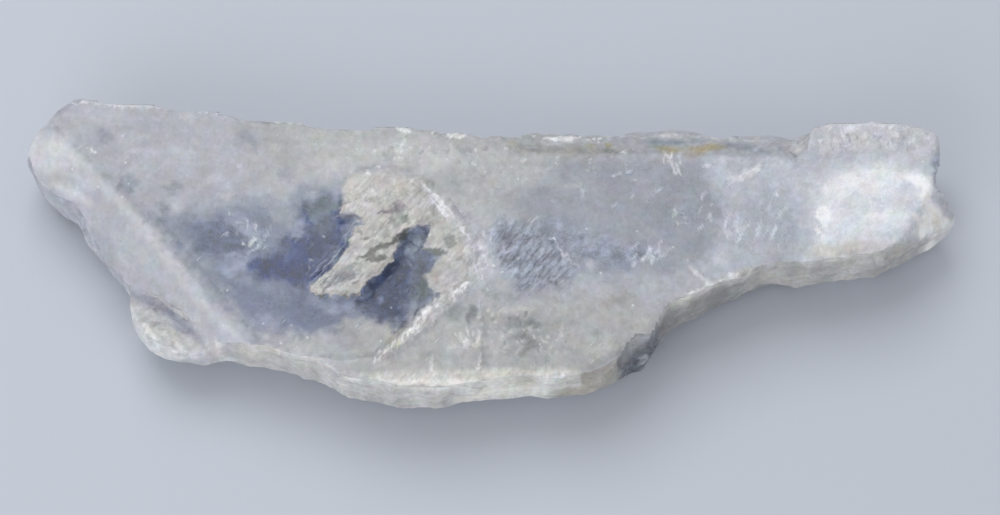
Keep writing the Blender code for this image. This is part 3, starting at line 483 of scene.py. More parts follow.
COMBED = [
    ("#989eac", 1, 0.16, 1.8, 0,
        (-0.6, 0.6, 1.4, 1.6, 4.6, 1.2, 7, -0.4, 9.2, -4, 7, -6, 2.4, -6.8, 1.4, -3.6, 0.2, -1.4)),
    ("#979dae", 0.7, 0.18, 1.4, 0.9, (1.2, -0.2, 3.4, -2.8, 5.6, -3.6)),
    ("#929aad", 0.85, 0.2, 2.4, 1.6, (6, 1.4, 10, -1.4, 14, -2.6, 17, -1.6)),
    ("#858da2", 0.6, 0.15, 1.8, 0.6, (12.4, -3, 14.6, -3.3)),
    ("#9299a8", 0.6, 0.1, 1.8, 0.9, (17.4, 1.2, 19.2, -0.4)),
    ("#9299a6", 0.6, 0.1, 1.8, 0.8, (20.6, -0.6, 22, -1.8)),
    ("#a9a3a4", 0.5, 0.05, 0.8, 0.5, (20.4, -2.8, 21.6, -3)),
    ("#bfbfc6", 0.7, 0, 0.8, 0.4, (10.2, -2.8, 10.8, -4)),
    ("#8d8987", 0.5, 0, 0.6, 0.3, (10, -4.6, 11.6, -5.2)),
    ("#b9bcc4", 0.6, 0, 0.7, 0.4, (9.4, -4.6, 12.6, -5.6)),
]
# The satin white end: the milky white of the mineral, with a painted sheen and bright painted glints; the
# lug painted light.
SATIN = [
    ("#e0e3e8", 0.9, 0, 2.4, 0,
        (34.4, 5.8, 36.6, 7.2, 40, 8.2, 44.6, 8.2, 47.4, 6.4, 47.4, 2.6, 46, 0.6, 40, -1.2, 34.2, -1.8)),
    ("#f0f1f3", 0.6, 0, 2, 1.4, (36.4, 1, 36.6, 4.6, 40.6, 6, 44, 6.6)),
    ("#e2e5eb", 0.8, 0, 1.6, 1, (37, 0.6, 41, 1.6, 44.6, 2.6)),
    ("#d9dce2", 0.6, 0, 1.4, 0.8, (39.4, 3.2, 43.6, 4)),
    ("#fdfdfe", 1, 0, 0.4, 0.65, (35, 1.2, 35.2, 2.6, 35.7, 1.6)),
    ("#f4f5f7", 0.8, 0, 0.8, 0.35, (35.4, 5.6, 35.6, 4.4)),
    ("#f4f5f7", 0.8, 0, 0.8, 0.3, (35, -0.4, 35.4, -1.2)),
    ("#ffffff", 1, 0, 0.7, 0.8, (44.4, 6.2, 46, 5.6, 46.4, 4)),
    ("#f4f3f1", 0.9, 0, 0.8, 0.35, (44.8, 2.4, 45.6, 1.6)),
    ("#cacbcf", 0.9, 0.02, 1.6, 0, (34, 14, 48, 13, 48, 9, 45, 9.6, 40, 9.4, 35.6, 8.8)),
    ("#dfe0e6", 0.7, 0, 0.8, 0.4, (37.6, 12.2, 39.6, 12)),
    ("#dfe1e6", 0.6, 0, 0.8, 0.4, (42.2, 10.6, 42.8, 10)),
    ("#a9b0be", 0.9, 0.15, 0.7, 0.7, (47.6, 9.4, 47.6, 6)),
    ("#8d97a8", 0.7, 0.2, 0.6, 0.3, (47.4, 7.8, 47.5, 6.6)),
    ("#fbf9f5", 1, 0, 0.6, 0, (46.2, 4.8, 48.6, 3.4, 51, 1.4, 49.4, -1.6, 45.6, 0.2)),
    ("#ebe7df", 0.8, 0, 0.4, 0.5, (46.6, 3.6, 47.6, 2.4, 48, 0.8)),
    ("#cbc9c4", 0.8, 0, 1.2, 0.8, (33.4, -2.4, 38.4, -1.6, 41.6, -1)),
    ("#e4e3e0", 0.8, 0, 0.5, 0.28, (35.4, -3.2, 38, -3, 40.8, -1.8, 42.4, -0.6)),
    ("#b3b2b2", 0.6, 0, 0.6, 0.3, (36.4, -2.2, 39.6, -1.8)),
]
EDGES = [
    # the crumbled strip along the back, with its iron stain
    ("#b0b3b9", 0.8, 0.05, 1, 0.9, (16, 10.4, 22, 10.4, 28, 9.8, 33, 9.8)),
    ("#b9babc", 0.6, 0, 0.5, 0.3, (17, 10.9, 18.6, 11.2, 19.4, 10.7)),
    ("#8f949c", 0.6, 0.1, 0.6, 0.35, (25.4, 10.6, 27.2, 10.3, 28.4, 10.5)),
    ("#bfc1c4", 0.6, 0, 0.5, 0.3, (29.2, 10.2, 30.6, 9.9)),
    ("#a6a49d", 0.6, 0, 0.9, 0.7, (2, 9.7, 8, 9.6, 15, 9.6)),
    ("#c9cacd", 0.7, 0, 0.7, 0.3, (0, 10.9, 6, 10.8, 12, 10.9)),
    ("#909397", 0.6, 0.1, 0.5, 0.3, (4.4, 9.9, 5.6, 9.6)),
    ("#8f9498", 0.6, 0.1, 0.6, 0.3, (9.4, 9.4, 10.4, 9.2)),
    ("#8f8f8c", 0.6, 0, 0.6, 0.35, (12.2, 9.6, 13.4, 9.3)),
    ("#aca074", 0.8, 0, 1.2, 0.4, (18, 10.1, 19.2, 9.7, 20.4, 9.9)),
    ("#ad9e72", 0.8, 0, 1.2, 0.5, (21.2, 10.1, 22.6, 9.8, 23.6, 10.3, 24.9, 10.2)),
    ("#a99a80", 0.5, 0, 1.2, 0.5, (20.6, 9.3, 22.4, 9.1)),
    ("#b0a678", 0.7, 0, 0.5, 0.3, (12.3, 10.7, 12.9, 10.1)),
    ("#b3ae92", 0.5, 0, 0.7, 0.3, (2, 10.5, 2.8, 10.4)),
    ("#b0ab8c", 0.5, 0, 0.6, 0.3, (10.2, 10.4, 11.2, 10.2)),
    ("#8894a8", 0.6, 0.15, 0.8, 0.35, (16.6, 11, 19, 10.8, 20.6, 10.9)),
    ("#c3c6cf", 0.8, 0, 0.8, 0.35, (24, 8.3, 28, 8.3, 33.6, 8.4, 38, 8.8)),
    ("#bcbdc0", 0.9, 0, 1.4, 1, (31.2, 11.4, 32.4, 10.6, 33.6, 9.6)),
    # the arrises of the right wall and of the lower ridge, white: crushed edges, and a painted highlight
    # where they catch the light
    ("#cdcbc6", 0.8, 0, 0.9, 0.5, (20.4, -7.4, 22.4, -6.2, 24.6, -5.1, 27, -4.2, 30, -3.9, 33, -3.6,
        35.4, -3.4, 38, -3.1, 40.8, -2.1, 43, -0.9)),
    ("#d8d6ce", 0.9, 0, 1, 0.8, (-13, -15.6, -6, -15.9, 0, -15.8, 5, -15.5, 9, -15.2)),
    ("#f2f0e9", 0.9, 0, 0.5, 0.34, (-12.4, -16, -9, -16.4, -3, -16.5, 2, -16.3, 6, -16, 9.4, -15.6)),
    ("#b7b4a2", 0.5, 0, 1, 0.5, (-11, -11.6, -9.8, -11.2)),
    ("#c8c7ca", 0.8, 0, 0.8, 0.35, (-29, -12.6, -24, -13.6, -18, -14.8, -13, -15.8)),
    ("#767a83", 0.95, 0.2, 1.5, 0,
        (18.9, -9.8, 16.4, -10.8, 14.8, -11.8, 13.6, -13.4, 13.4, -17, 17, -16.4, 20, -12.6)),
    # painted highlights on the dark chip's facets
    ("#c9cdd3", 0.9, 0.05, 0.25, 0.16, (15.6, -12.2, 16.4, -12, 17.4, -12.3)),
    ("#b6bbc3", 0.9, 0.05, 0.25, 0.14, (17.6, -10.9, 17.4, -13.6)),
    ("#9aa2b0", 0.8, 0.15, 0.5, 0.4, (16.4, -13.2, 17.6, -13.8)),
    ("#c4c5c8", 0.6, 0, 0.5, 0.2, (13.9, -13, 14.8, -11.9, 16.4, -10.9, 18.6, -9.9)),
    ("#5b606c", 0.8, 0.2, 0.4, 0.3, (15.2, -12.8, 15, -14.6)),
]
CRUSHED_AND_GLINTS = [
    # white along the back arris: crushed mineral, and a painted highlight where the arris catches the light
    ("#cdced0", 0.8, 0, 0.4, 0.3, (14, 11.7, 16, 11.8, 20, 12, 24, 11.7, 28, 11.3, 31, 11.2)),
    ("#dddee1", 0.8, 0, 0.4, 0.26,
        (33.4, 11.9, 35.4, 12.4, 37.3, 12.6, 41, 12.5, 44, 12.2, 46, 11.6, 47.5, 10.2)),
    ("#d8dade", 0.8, 0, 0.4, 0.24, (-47, 15.3, -41.6, 15, -36, 14.7, -31.2, 14.3, -28, 13.8)),
    ("#f3f3f4", 1, 0, 0.3, 0.3, (-24.8, 13.6, -23.4, 13.3, -21.4, 13.1, -19.6, 12.9)),
    ("#e3e4e6", 0.8, 0, 0.6, 0.28, (25.6, 6.2, 27.2, 7, 28.9, 7.8)),
    ("#e8e8ea", 0.8, 0, 0.6, 0.3, (21, -4, 21.8, -4.7, 22.8, -5.4, 23.6, -5.8)),
    ("#e6e6e6", 0.8, 0, 0.4, 0.2, (21, -6.8, 22.4, -6, 23.8, -5.4, 26, -4.6)),
    ("#ececec", 0.8, 0, 0.5, 0.35, (29.2, -3.4, 29.9, -3.9, 30.3, -4.6)),
    ("#dadde4", 0.6, 0, 0.3, 0.12, (6.4, -0.3, 7.4, -1.8, 8.6, -3.2, 9.6, -4.1)),
    ("#dcdcd8", 0.6, 0, 0.5, 0.3, (-4.3, -11.8, -3.8, -12.6)),
    ("#ccd3e0", 0.9, 0, 0.3, 0.13, (-25.6, -2.4, -24.4, -1.5, -23.6, -0.4, -23, 1)),
    ("#c6ccd8", 0.8, 0, 0.2, 0.07, (-18.9, -5.8, -17.2, -3.8, -15.8, -1.9, -14.6, 0.4)),
    ("#39415e", 0.8, 0.1, 0.2, 0.07, (-18.7, -5.2, -17.6, -3.7, -16.3, -2)),
    ("#a9b0c2", 0.7, 0.1, 0.2, 0.06, (-18.5, -4.4, -16.8, -2.2)),
    ("#c3c8d4", 0.8, 0.1, 0.2, 0.05, (-15.2, -0.2, -14.5, 1), (-14.8, -0.3, -14.2, 0.9)),
    ("#cfd5e2", 0.8, 0, 0.2, 0.08, (-17.6, -0.4, -17.3, 0)),
    ("#e4e4e4", 0.7, 0, 0.3, 0.08, (-10.2, 7, -10.2, 6)),
    ("#efefec", 0.8, 0, 0.6, 0.35, (-50, 9.2, -49.7, 8.4, -49.5, 7.6)),
    ("#e6e9ef", 0.7, 0, 0.3, 0.08, (0.2, -4, 0.2, -4.6)),
    # painted glints, that is highlights, and short scratches, in groups of one tone and width
    ("#d3d8e2", 0.75, 0, 0.3, 0.1, (-1, -7.2, -1.1, -9.6), (17.2, 4.6, 18.4, 5.4), (9.7, 5.7, 9.9, 4.3),
        (13, 3, 13.4, 3.6), (-18.9, -3.4, -18.8, -3.7), (-27.2, 7.6, -26, 7.9)),
    ("#e8e8e7", 0.75, 0, 0.3, 0.14, (-1.1, -10.6, -1, -12.7), (-8.4, -15.4, -8.5, -16.3),
        (-4.4, -15.2, -4.5, -16.4), (-9.2, 11.6, -9.3, 10.2, -9.6, 9), (19.4, 8.4, 20.4, 6.8),
        (-1.6, -10.6, -1.8, -11.4), (-12.6, 5.8, -12.4, 5.2)),
    ("#e8e8e7", 0.95, 0, 0.3, 0.14, (-1, -13, -1.1, -15.3)),
    ("#e8e8e7", 0.75, 0, 0.3, 0.18, (-10.6, -15, -10.7, -16.2), (3.2, -15.2, 3.1, -16.2),
        (3.3, 8.2, 3.8, 8.5), (-6.2, -13.6, -5.9, -15.2, -5.6, -16.8)),
    ("#d3d8e2", 0.75, 0, 0.3, 0.14, (6.8, -14.9, 6.9, -15.8), (4.2, 10, 4.8, 9.9), (16.4, 3.5, 16.8, 3.7),
        (-1.3, 8.8, -1.2, 8.1), (-27.7, 2.8, -27, 2.1)),
    ("#f4f4f5", 0.95, 0, 0.3, 0.25, (45.3, 4.7, 45.9, 4, 45.8, 3.1), (-25.4, -1.4, -25, -0.8, -24.7, -0.2),
        (-43, 9.8, -41.7, 9.3)),
    ("#f4f4f5", 0.75, 0, 0.3, 0.14, (46.9, 1.6, 47.9, 0.9), (27.6, 7.3, 28.6, 7.6), (6.5, -0.4, 6.8, -0.9),
        (39.6, 6.8, 41.4, 7.2)),
    ("#f4f4f5", 0.95, 0, 0.3, 0.4, (-10.2, 12.3, -9.2, 12.1, -8.6, 11.6),
        (-5.8, 12.1, -4.4, 11.7, -3.2, 11.1), (6, 11.6, 8, 11.3, 9.3, 11.4)),
    ("#e8e8e7", 0.75, 0, 0.3, 0.25, (1.6, 10.1, 2, 9.6), (18.6, 8.9, 19.3, 8.2, 19.6, 7.6),
        (-0.9, 6.7, -0.5, 7.5), (-2.6, -11.9, -2.2, -12.4)),
    ("#e2e5ec", 0.75, 0, 0.3, 0.18, (13.8, 9.4, 14.6, 9.5), (22.8, 7.6, 23.6, 7.9), (30.4, 4.8, 30.5, 4.2),
        (-18.6, 10.8, -18.5, 9.4)),
    ("#d3d8e2", 0.75, 0, 0.3, 0.25, (14.4, 7.2, 15.2, 7.1), (-17.6, -14, -17.2, -14.4)),
    ("#f4f4f5", 0.95, 0, 0.3, 0.14, (21.5, -4.2, 21.9, -4.8), (0.2, -3.4, 0.4, -3.7)),
    ("#e2e5ec", 0.95, 0, 0.3, 0.14, (15.8, -3.4, 16.5, -2, 16.9, -1), (16.6, -2.9, 17.4, -2.2),
        (-24.9, 0.2, -24.5, 1.4), (-30.1, -2.2, -29.9, -2.4)),
    ("#e2e5ec", 0.75, 0, 0.3, 0.1, (18.1, -2.6, 19.2, -1.4), (17.6, -3, 18.2, -2.2),
        (3.4, 0.2, 4.4, 1.2, 5, 2.1), (30.2, -1.8, 30.8, -0.4, 31.2, 0.6), (22.2, 3.6, 22.8, 4.8),
        (-19.5, 4.2, -19.3, 4.5), (-18.8, 4.6, -18.6, 4.9), (-0.8, -2.2, -0.8, -2.6),
        (-1.4, -4.9, -0.9, -4.9), (0.5, 1.6, 0.7, 1.5)),
    ("#e2e5ec", 0.75, 0, 0.3, 0.14, (26, -1.2, 26.6, 0.2, 27.2, 1.6), (27.8, -0.6, 28.5, 0.8),
        (28.7, 2, 29.5, 3, 29.9, 4), (24.6, 0.4, 25.2, 1.8, 25.9, 3), (36.8, 9.8, 38.6, 10.4),
        (6.6, 3.9, 7, 3.7), (19.4, 1.2, 19.6, 0.9)),
    ("#d3d8e2", 0.95, 0, 0.3, 0.14, (-26.8, 1.6, -26, 0.7), (-25.9, 1.9, -25.4, 0.9, -25.5, 0.2),
        (-26.8, 0, -26.6, 0.4), (-18.8, -2.65, -18.6, -2.7), (-13.9, -9.8, -13.7, -10.1)),
    ("#e2e5ec", 0.95, 0, 0.3, 0.18, (-27.9, 0, -27.5, 0.2)),
    ("#f4f4f5", 0.95, 0, 0.3, 0.18, (-26, -0.9, -25.8, -1.3), (-13.2, 7.5, -12.9, 6.9, -12.7, 6.6),
        (-12.1, 7.6, -11.7, 7.5)),
    ("#e2e5ec", 0.75, 0, 0.3, 0.25, (-18.5, -13.3, -18.3, -13.8)),
    ("#d3d8e2", 0.75, 0, 0.3, 0.18, (-37.5, 11.5, -37.2, 11.2)),
    ("#f4f4f5", 0.75, 0, 0.3, 0.1, (-12.4, 5, -12.2, 4.9), (-8.4, 5.7, -8, 6.3)),
]
# Sprays of short strokes: crushed white, painted highlights along the arrises, and painted glints. Every
# row: the colour, how strongly it covers, the strokes' half width, length and lean in degrees, how far they
# scatter, how many, and their line.
LOW_LIP = (-11.6, -13.8, -9.6, -12, -8.4, -10.8, -7, -9.4, -5.8, -8, -4.2, -6.8, -2.4, -5.6)
HALO_LINE = (-2.2, 0.4, -1.2, -1.6, -0.8, -3.4, -1.4, -5)
SPRAYS = [
    ("#f5f5f6", 1, 0.08, 0.8, 84, 0.45, 60, LOW_LIP),
    ("#8d8d90", 0.6, 0.06, 0.6, 84, 0.45, 26, LOW_LIP),
    ("#e8eaf0", 0.85, 0.1, 0.7, 88, 1.3, 30, HALO_LINE),
    ("#949aa6", 0.5, 0.09, 0.6, 88, 1.4, 20, HALO_LINE),
    ("#eaeae6", 0.8, 0.13, 0.7, 75, 0.8, 12, (-3.4, -10.6, -1.4, -12.4)),
    ("#dfe0dd", 0.8, 0.13, 0.5, 60, 2, 38, (0.5, -9.5, 4, -12.5, 8, -12)),
    ("#858887", 0.7, 0.13, 0.6, 60, 1.8, 24, (1, -9.5, 5, -12.5)),
    ("#e4e8f0", 0.75, 0.13, 2.2, 64, 1.5, 15, (25.2, 0.4, 27.6, 0.6, 30.4, 1.4)),
    ("#e6eaf2", 0.85, 0.13, 1.3, 62, 1, 11, (15.4, -2.4, 18.6, -1.6)),
    ("#f0f2f5", 0.8, 0.13, 0.8, 75, 0.9, 26, (36, 10.6, 41, 11.2, 46, 10.4)),
    ("#a3a8b2", 0.7, 0.13, 0.7, 75, 0.9, 26, (36, 10.4, 41, 11, 46, 10.2)),
    ("#fbfcfd", 0.9, 0.13, 0.8, 88, 0.6, 16, (34.8, -1.2, 35.1, 1, 35.5, 3.4)),
    ("#f6f7f9", 0.7, 0.13, 1, 12, 1.6, 18, (38, 2, 45, 4)),
    ("#eaeaea", 0.8, 0.13, 0.5, 50, 1.1, 24, (-12, 9.6, -6, 9.4, 0, 8.8)),
    ("#969a9d", 0.6, 0.13, 0.5, 50, 1.1, 16, (-12, 9.4, -6, 9.2, 0, 8.6)),
    ("#dfe2e8", 0.7, 0.13, 0.8, 60, 1.6, 12, (19, 1, 24, 2)),
    # white along the lower ridge, the right arris and the back edge: crushed, and painted highlight where
    # they catch the light
    ("#f6f6f4", 0.9, 0.14, 0.6, 88, 0.25, 40, (-13, -15.9, -6, -16.3, 2, -16.1, 9, -15.5)),
    ("#f2f2f1", 0.9, 0.14, 0.7, 50, 0.35, 30, (20.6, -7, 24.6, -4.9, 30, -3.7, 35.4, -3.2, 40.8, -1.9)),
    ("#f2f2f4", 0.9, 0.14, 0.5, 70, 0.25, 34, (-30, 14, -16, 12.6, -4, 11.6, 8, 11.4, 13, 11.6)),
    ("#6d7073", 0.8, 0.08, 0.8, 46, 0.7, 34, (-17.4, -5.6, -13.8, -4.8)),
    ("#e6e6e4", 0.8, 0.08, 0.8, 46, 0.7, 20, (-17.4, -5.6, -13.8, -4.8)),
    ("#77777a", 0.5, 0.07, 0.6, 50, 1.6, 22, (-13.4, 3.6, -9.4, 3.4, -12.4, -1.4)),
    ("#c7ccd4", 0.7, 0.1, 0.9, 70, 0.9, 12, (15.4, -12.4, 17.6, -13.4)),
    ("#8a94a4", 0.5, 0.09, 0.7, 58, 1.3, 14, (-9.4, -3, -9, -8)),
    ("#a9b2c4", 0.7, 0.09, 0.6, 50, 1.6, 16, (-23.6, -1, -17.6, 1, -17.8, -4.6)),
    # painted glints
    ("#f2f3f5", 0.8, 0.13, 0.8, 105, 0.8, 12, (18.8, 8.8, 20.6, 7.4)),
    ("#f2f3f5", 0.8, 0.13, 1, 35, 0.5, 11, (25.8, 6.2, 28.6, 7.6)),
    ("#e4e6ea", 0.7, 0.13, 0.5, 40, 1.2, 14, (6, 8.4, 16, 7.2)),
]
UNDER_TONE = srgb("#b5b7bc")
TORN_FADE = 0.5  # rows that fade over less than this follow the torn edges
CLEAVED = 0.08  # a row this clear or clearer is cleaved, never broken
STROKE_TURN = 18  # degrees that a stroke may turn from its spray's lean
GROUP_STEPS = 20  # the relief's weights are kept in steps of a twentieth

tone = np.tile(srgb("#b2b4ba"), (len(place), 1))
clear = np.full(len(place), 0.06)
broken = np.zeros(len(place))  # how far the surface is torn or crushed rather than cleaved
calm = np.zeros(len(place))  # how far a face is one clean cleavage, without veils


def paint(rows, cover, is_broken=0.0, along=None, patchy=0.0, is_calm=0.0):
    """Lays a table's rows over the blade, where the cover is 1."""
    for colour, strength, clarity, fade, width, *lines in rows:
        at = (torn if fade < TORN_FADE else loose) if along is None else along
        for line in lines:
            depth = inside(at, line) if width == 0 else streak(at, line, width)
            share = smooth_step(depth, -fade / 2, fade / 2) * strength * cover * (1 - patchy * gaps)
            tone[:] += (srgb(colour) - tone) * share[:, None]
            clear[:] += (clarity - clear) * share
            broken[:] += ((is_broken if clarity < CLEAVED else 0) - broken) * share
            calm[:] += (is_calm - calm) * share


def spray(seed, colour, strength, width, length, lean, scatter, count, line):
    """Lays short strokes along a line, each at its own place, length and angle."""
    dice = random.Random(seed)
    line = np.reshape(line, (-1, 2))
    share = np.zeros(len(place))
    for _ in range(count):
        run = dice.random() * (len(line) - 1)
        a, b = line[int(run)], line[int(run) + 1]
        middle = a + (run % 1) * (b - a) + scatter * np.array([dice.uniform(-1, 1), dice.uniform(-1, 1)])
        angle = math.radians(lean + dice.uniform(-STROKE_TURN, STROKE_TURN))
        half = 0.5 * length * dice.uniform(0.4, 1.3) * np.array([math.cos(angle), math.sin(angle)])
        near = np.nonzero(np.abs(mild[:, :2] - middle).max(axis=1) < length)[0]
        depth = streak(mild[near], [middle - half, middle + half], width * dice.uniform(0.7, 1.2))
        mark = smooth_step(depth, -0.1, 0.1) * dice.uniform(0.5, 1) * strength
        share[near] = np.maximum(share[near], mark)
    share *= up
    tone[:] += (srgb(colour) - tone) * share[:, None]
    clear[:] -= clear * share
    broken[:] += (0.8 - broken) * share


# Laid from the inside out: milky body, windows painted with the dark seen through them, torn layer, walls,
# and last what is crushed, with painted glints and painted highlights along the arrises.
side = np.clip(wall, 0, 1)
near_top = smooth_step(place[:, 2], 8.6, 9.8)
paint(MILKY, 1)
paint(BEVEL, 1, along=mild, is_calm=0.5)
paint(LUMP_MARKS, 1, 0.35, along=mild)
paint(BLOTCHES, 1, 0.3)
# the windows, painted with the dark seen through them
paint(WINDOWS, 1, along=0.7 * swirled + 0.3 * loose)
paint(COMBED, 1)
paint(HAZE, 1, 0.4)
paint(TEAR, 1, 0.9)
paint(LIPS, 1, 1, along=0.75 * frayed + 0.25 * torn, patchy=0.4)
paint(WALLS, side)
# the tops of the walls, painted lighter as if lit from above
paint(ARRISES, side * smooth_step(place[:, 2], 8.4, 10.4))
# the satin end, with its painted sheen
paint(SATIN, 1 - side, 0.2, along=0.5 * mild + 0.5 * loose, is_calm=0.3)
paint(EDGES, 1, 0.5, along=mild)
paint(CRUSHED_AND_GLINTS, 1 - side * (1 - near_top), 1, patchy=0.3)
for seed, row in enumerate(SPRAYS):
    spray(seed, *row)
tone += (UNDER_TONE - tone) * under[:, None]
clear += (0.15 - clear) * under
broken *= up


def group(name, weights):
    """A vertex group of those weights."""
    made = blade.vertex_groups.new(name=name)
    steps = np.round(np.clip(weights, 0, 1) * GROUP_STEPS).astype(int)
    for step in range(1, GROUP_STEPS + 1):
        made.add(np.nonzero(steps == step)[0].tolist(), step / GROUP_STEPS, "REPLACE")
    return made.name


def relief(
    name, weights, kind, height, size, stretch=(1, 1, 1), turn=0, direction="NORMAL", level=0.8, **settings
):
    """Raises and sinks the skin by a pattern of that size, stretched along a turned grain."""
    grain = bpy.data.objects.new(name, None)
    bpy.context.scene.collection.objects.link(grain)
    grain.rotation_euler = (0, 0, math.radians(turn))
    grain.scale = [s * size * MM for s in stretch]
    pattern = bpy.data.textures.new(name, kind)
    pattern.noise_scale = 1.0
    for key, value in settings.items():
        setattr(pattern, key, value)
    bpy.context.view_layer.update()
    move = blade.modifiers.new(name, "DISPLACE")
    move.texture = pattern
    move.texture_coords = "OBJECT"
    move.texture_coords_object = grain
    move.vertex_group = group(name, weights)
    move.direction = direction
    move.mid_level = level
    move.strength = height * MM
    bpy.context.view_layer.objects.active = blade
    bpy.ops.object.modifier_apply(modifier=move.name)
    bpy.data.objects.remove(grain)
    bpy.data.textures.remove(pattern)


# The relief, pattern by pattern: its height and size, how it is stretched and turned, and
# the level of the pattern that neither rises nor sinks.
low_fade = smooth_step(place[:, 2], 0.2, 1.2)
lump_share = smooth_step(inside(place, LUMP), -0.2, 0.8) * smooth_step(place[:, 2], 1.5, 3)
side_share = wall * low_fade * (1 - lump_share)
waves = smooth_step(inside(loose, COMBED[0][5]), -0.8, 1.2) * up
relief("swell", up, "CLOUDS", 0.16, 8, direction="Z", level=1)
relief("tear", broken, "CLOUDS", 0.14, 0.7, (1.6, 1, 1), GRAIN_TURN, "Z", noise_depth=2)
relief("tear_fibres", broken, "CLOUDS", 0.07, 0.28, (2.5, 1, 1), GRAIN_TURN + 8, "Z", 0.5, noise_depth=1)
relief("lump", lump_share, "CLOUDS", 0.30, 1.5, (1.6, 1, 1), -40, noise_depth=1)
relief("lump_grit", lump_share, "CLOUDS", 0.16, 0.5, noise_depth=2)
relief("layers", side_share, "CLOUDS", 0.09, 1, (8, 8, 0.8), level=1, noise_depth=2)
relief("wall_breaks", side_share, "VORONOI", 0.34, 2.6, (1, 1, 1.3), level=1)
relief("wall_chips", side_share, "VORONOI", 0.16, 1.1, (1, 1, 1.6), level=1)
relief("wall_teeth", side_share, "CLOUDS", 0.16, 0.5, (1, 1, 2), level=0.6, noise_depth=1)
relief("combed_waves", waves, "CLOUDS", 0.13, 0.34, (3, 1, 1), GRAIN_TURN + 4, "Z", 0.5, noise_depth=1)
blade.vertex_groups.clear()


def arris_folds():
    """How sharply the skin folds outwards at every point: above 0 on an arris, below 0 in a groove."""
    mesh = blade.data
    place, facing = measure(mesh.vertices, "co")
    ends = np.zeros(len(mesh.edges) * 2, np.int64)
    mesh.edges.foreach_get("vertices", ends)
    a, b = ends.reshape(-1, 2).T
    reach = place[a] - place[b]
    length = np.maximum(np.linalg.norm(reach, axis=1), 1e-6)
    count = np.bincount(a, minlength=len(place)) + np.bincount(b, minlength=len(place))
    fold = np.bincount(a, (reach * facing[a]).sum(1) / length, len(place))
    fold += np.bincount(b, -(reach * facing[b]).sum(1) / length, len(place))
    fold /= count
    for _ in range(2):
        around = np.bincount(a, fold[b], len(place)) + np.bincount(b, fold[a], len(place))
        fold = 0.4 * fold + 0.6 * around / count
    return fold


def keep(name, kind, values):
    """Keeps one value for every point of the skin, for the finish to read."""
    layer = blade.data.attributes.new(name, kind, "POINT")
    layer.data.foreach_set("value" if kind == "FLOAT" else "color", np.asarray(values, np.float32).ravel())


keep("tone", "FLOAT_COLOR", np.hstack([tone, np.ones((len(tone), 1))]))
keep("clear", "FLOAT", clear)
keep("broken", "FLOAT", broken)
keep("wall", "FLOAT", side)
keep("waves", "FLOAT", waves)
keep("calm", "FLOAT", calm * (1 - side))
# the outward folds of the skin, for the painted highlight along the arrises
keep("arris_light", "FLOAT", arris_folds() * (1 - smooth_step(-place[:, 0] - 0.9 * place[:, 1], 26, 30) * wall))

# It fills the solid's own box, and lies on the same flat face.
low, high = (np.array(corner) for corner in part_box("crystal_blade"))
points = read(blade.data.vertices, "co")
for axis in (0, 1):
    start, end = points[:, axis].min(), points[:, axis].max()
    points[:, axis] = low[axis] + (points[:, axis] - start) * (high[axis] - low[axis]) / (end - start)
points = np.clip(points, low, high)
blade.data.vertices.foreach_set("co", points.astype(np.float32).ravel())
blade.data.update()
bpy.ops.object.shade_smooth()

# Selenite as it cleaves: glassy and see-through where a layer came off whole, satin where
# veils of tiny bubbles scatter the light, and snow white where the layers were crushed.
selenite = bpy.data.materials.new("selenite, cleaved and broken")
selenite.use_nodes = True
tree = selenite.node_tree
tree.nodes.clear()


def add(kind, inputs=None, **settings):
    """Adds one node with those settings. An input is a value, or the output that feeds it."""
    made = tree.nodes.new("ShaderNode" + kind)
    for name, value in settings.items():
        setattr(made, name, value)
    for name, value in (inputs or {}).items():
        if isinstance(value, bpy.types.NodeSocket):
            tree.links.new(value, made.inputs[name])
        else:
            made.inputs[name].default_value = value
    return made


def work(operation, *terms, kind="Math", **settings):
    """One step of arithmetic on its terms."""
    return add(kind, dict(enumerate(terms)), operation=operation, **settings).outputs[0]


def ramp(way, low, high, start=0, end=1):
    """Goes from start to end while the value goes from low to high."""
    inputs = {"Value": way, "From Min": low, "From Max": high, "To Min": start, "To Max": end}
    return add("MapRange", inputs).outputs[0]


def mix(share, below, above):
    """Goes from one value to another by a share."""
    return add("Mix", {0: share, 2: below, 3: above}, data_type="FLOAT").outputs[0]


def shaded(body, shade):
    """The body, lighter where the shade is over 1 and darker where it is under."""
    return add("VectorMath", {0: body, "Scale": shade}, operation="SCALE").outputs[0]


def covered(body, share, colour):
    """The body under that share of a colour."""
    return add("Mix", {0: share, 6: body, 7: (*srgb(colour), 1)}, data_type="RGBA").outputs[2]


tone_in = add("Attribute", attribute_name="tone").outputs["Color"]
clear_in, broken_in, wall_in, waves_in, calm_in, arris_light_in = (
    add("Attribute", attribute_name=name).outputs["Fac"]
    for name in ("clear", "broken", "wall", "waves", "calm", "arris_light")
)
where = add("TexCoord").outputs["Object"]
mm = add("Mapping", {"Vector": where, "Scale": (1 / MM, 1 / MM, 1 / MM)}).outputs[0]
turned = add("Mapping", {"Vector": mm, "Rotation": (0, 0, -math.radians(GRAIN_TURN))}).outputs[0]
bedding, upright, chips_at, grain, wisps_at, splinters_at, hairs_at = (
    add("Mapping", {"Vector": way, "Scale": stretch}).outputs[0]
    for way, stretch in (
        (mm, (0.16, 0.16, 2.6)), (mm, (0.5, 0.5, 0.08)), (mm, (0.5, 0.5, 0.32)), (turned, (0.28, 1, 1)),
        (turned, (0.35, 1, 1)), (turned, (1.4, 2.4, 1.6)), (turned, (0.22, 2, 0.5)),
    )
)

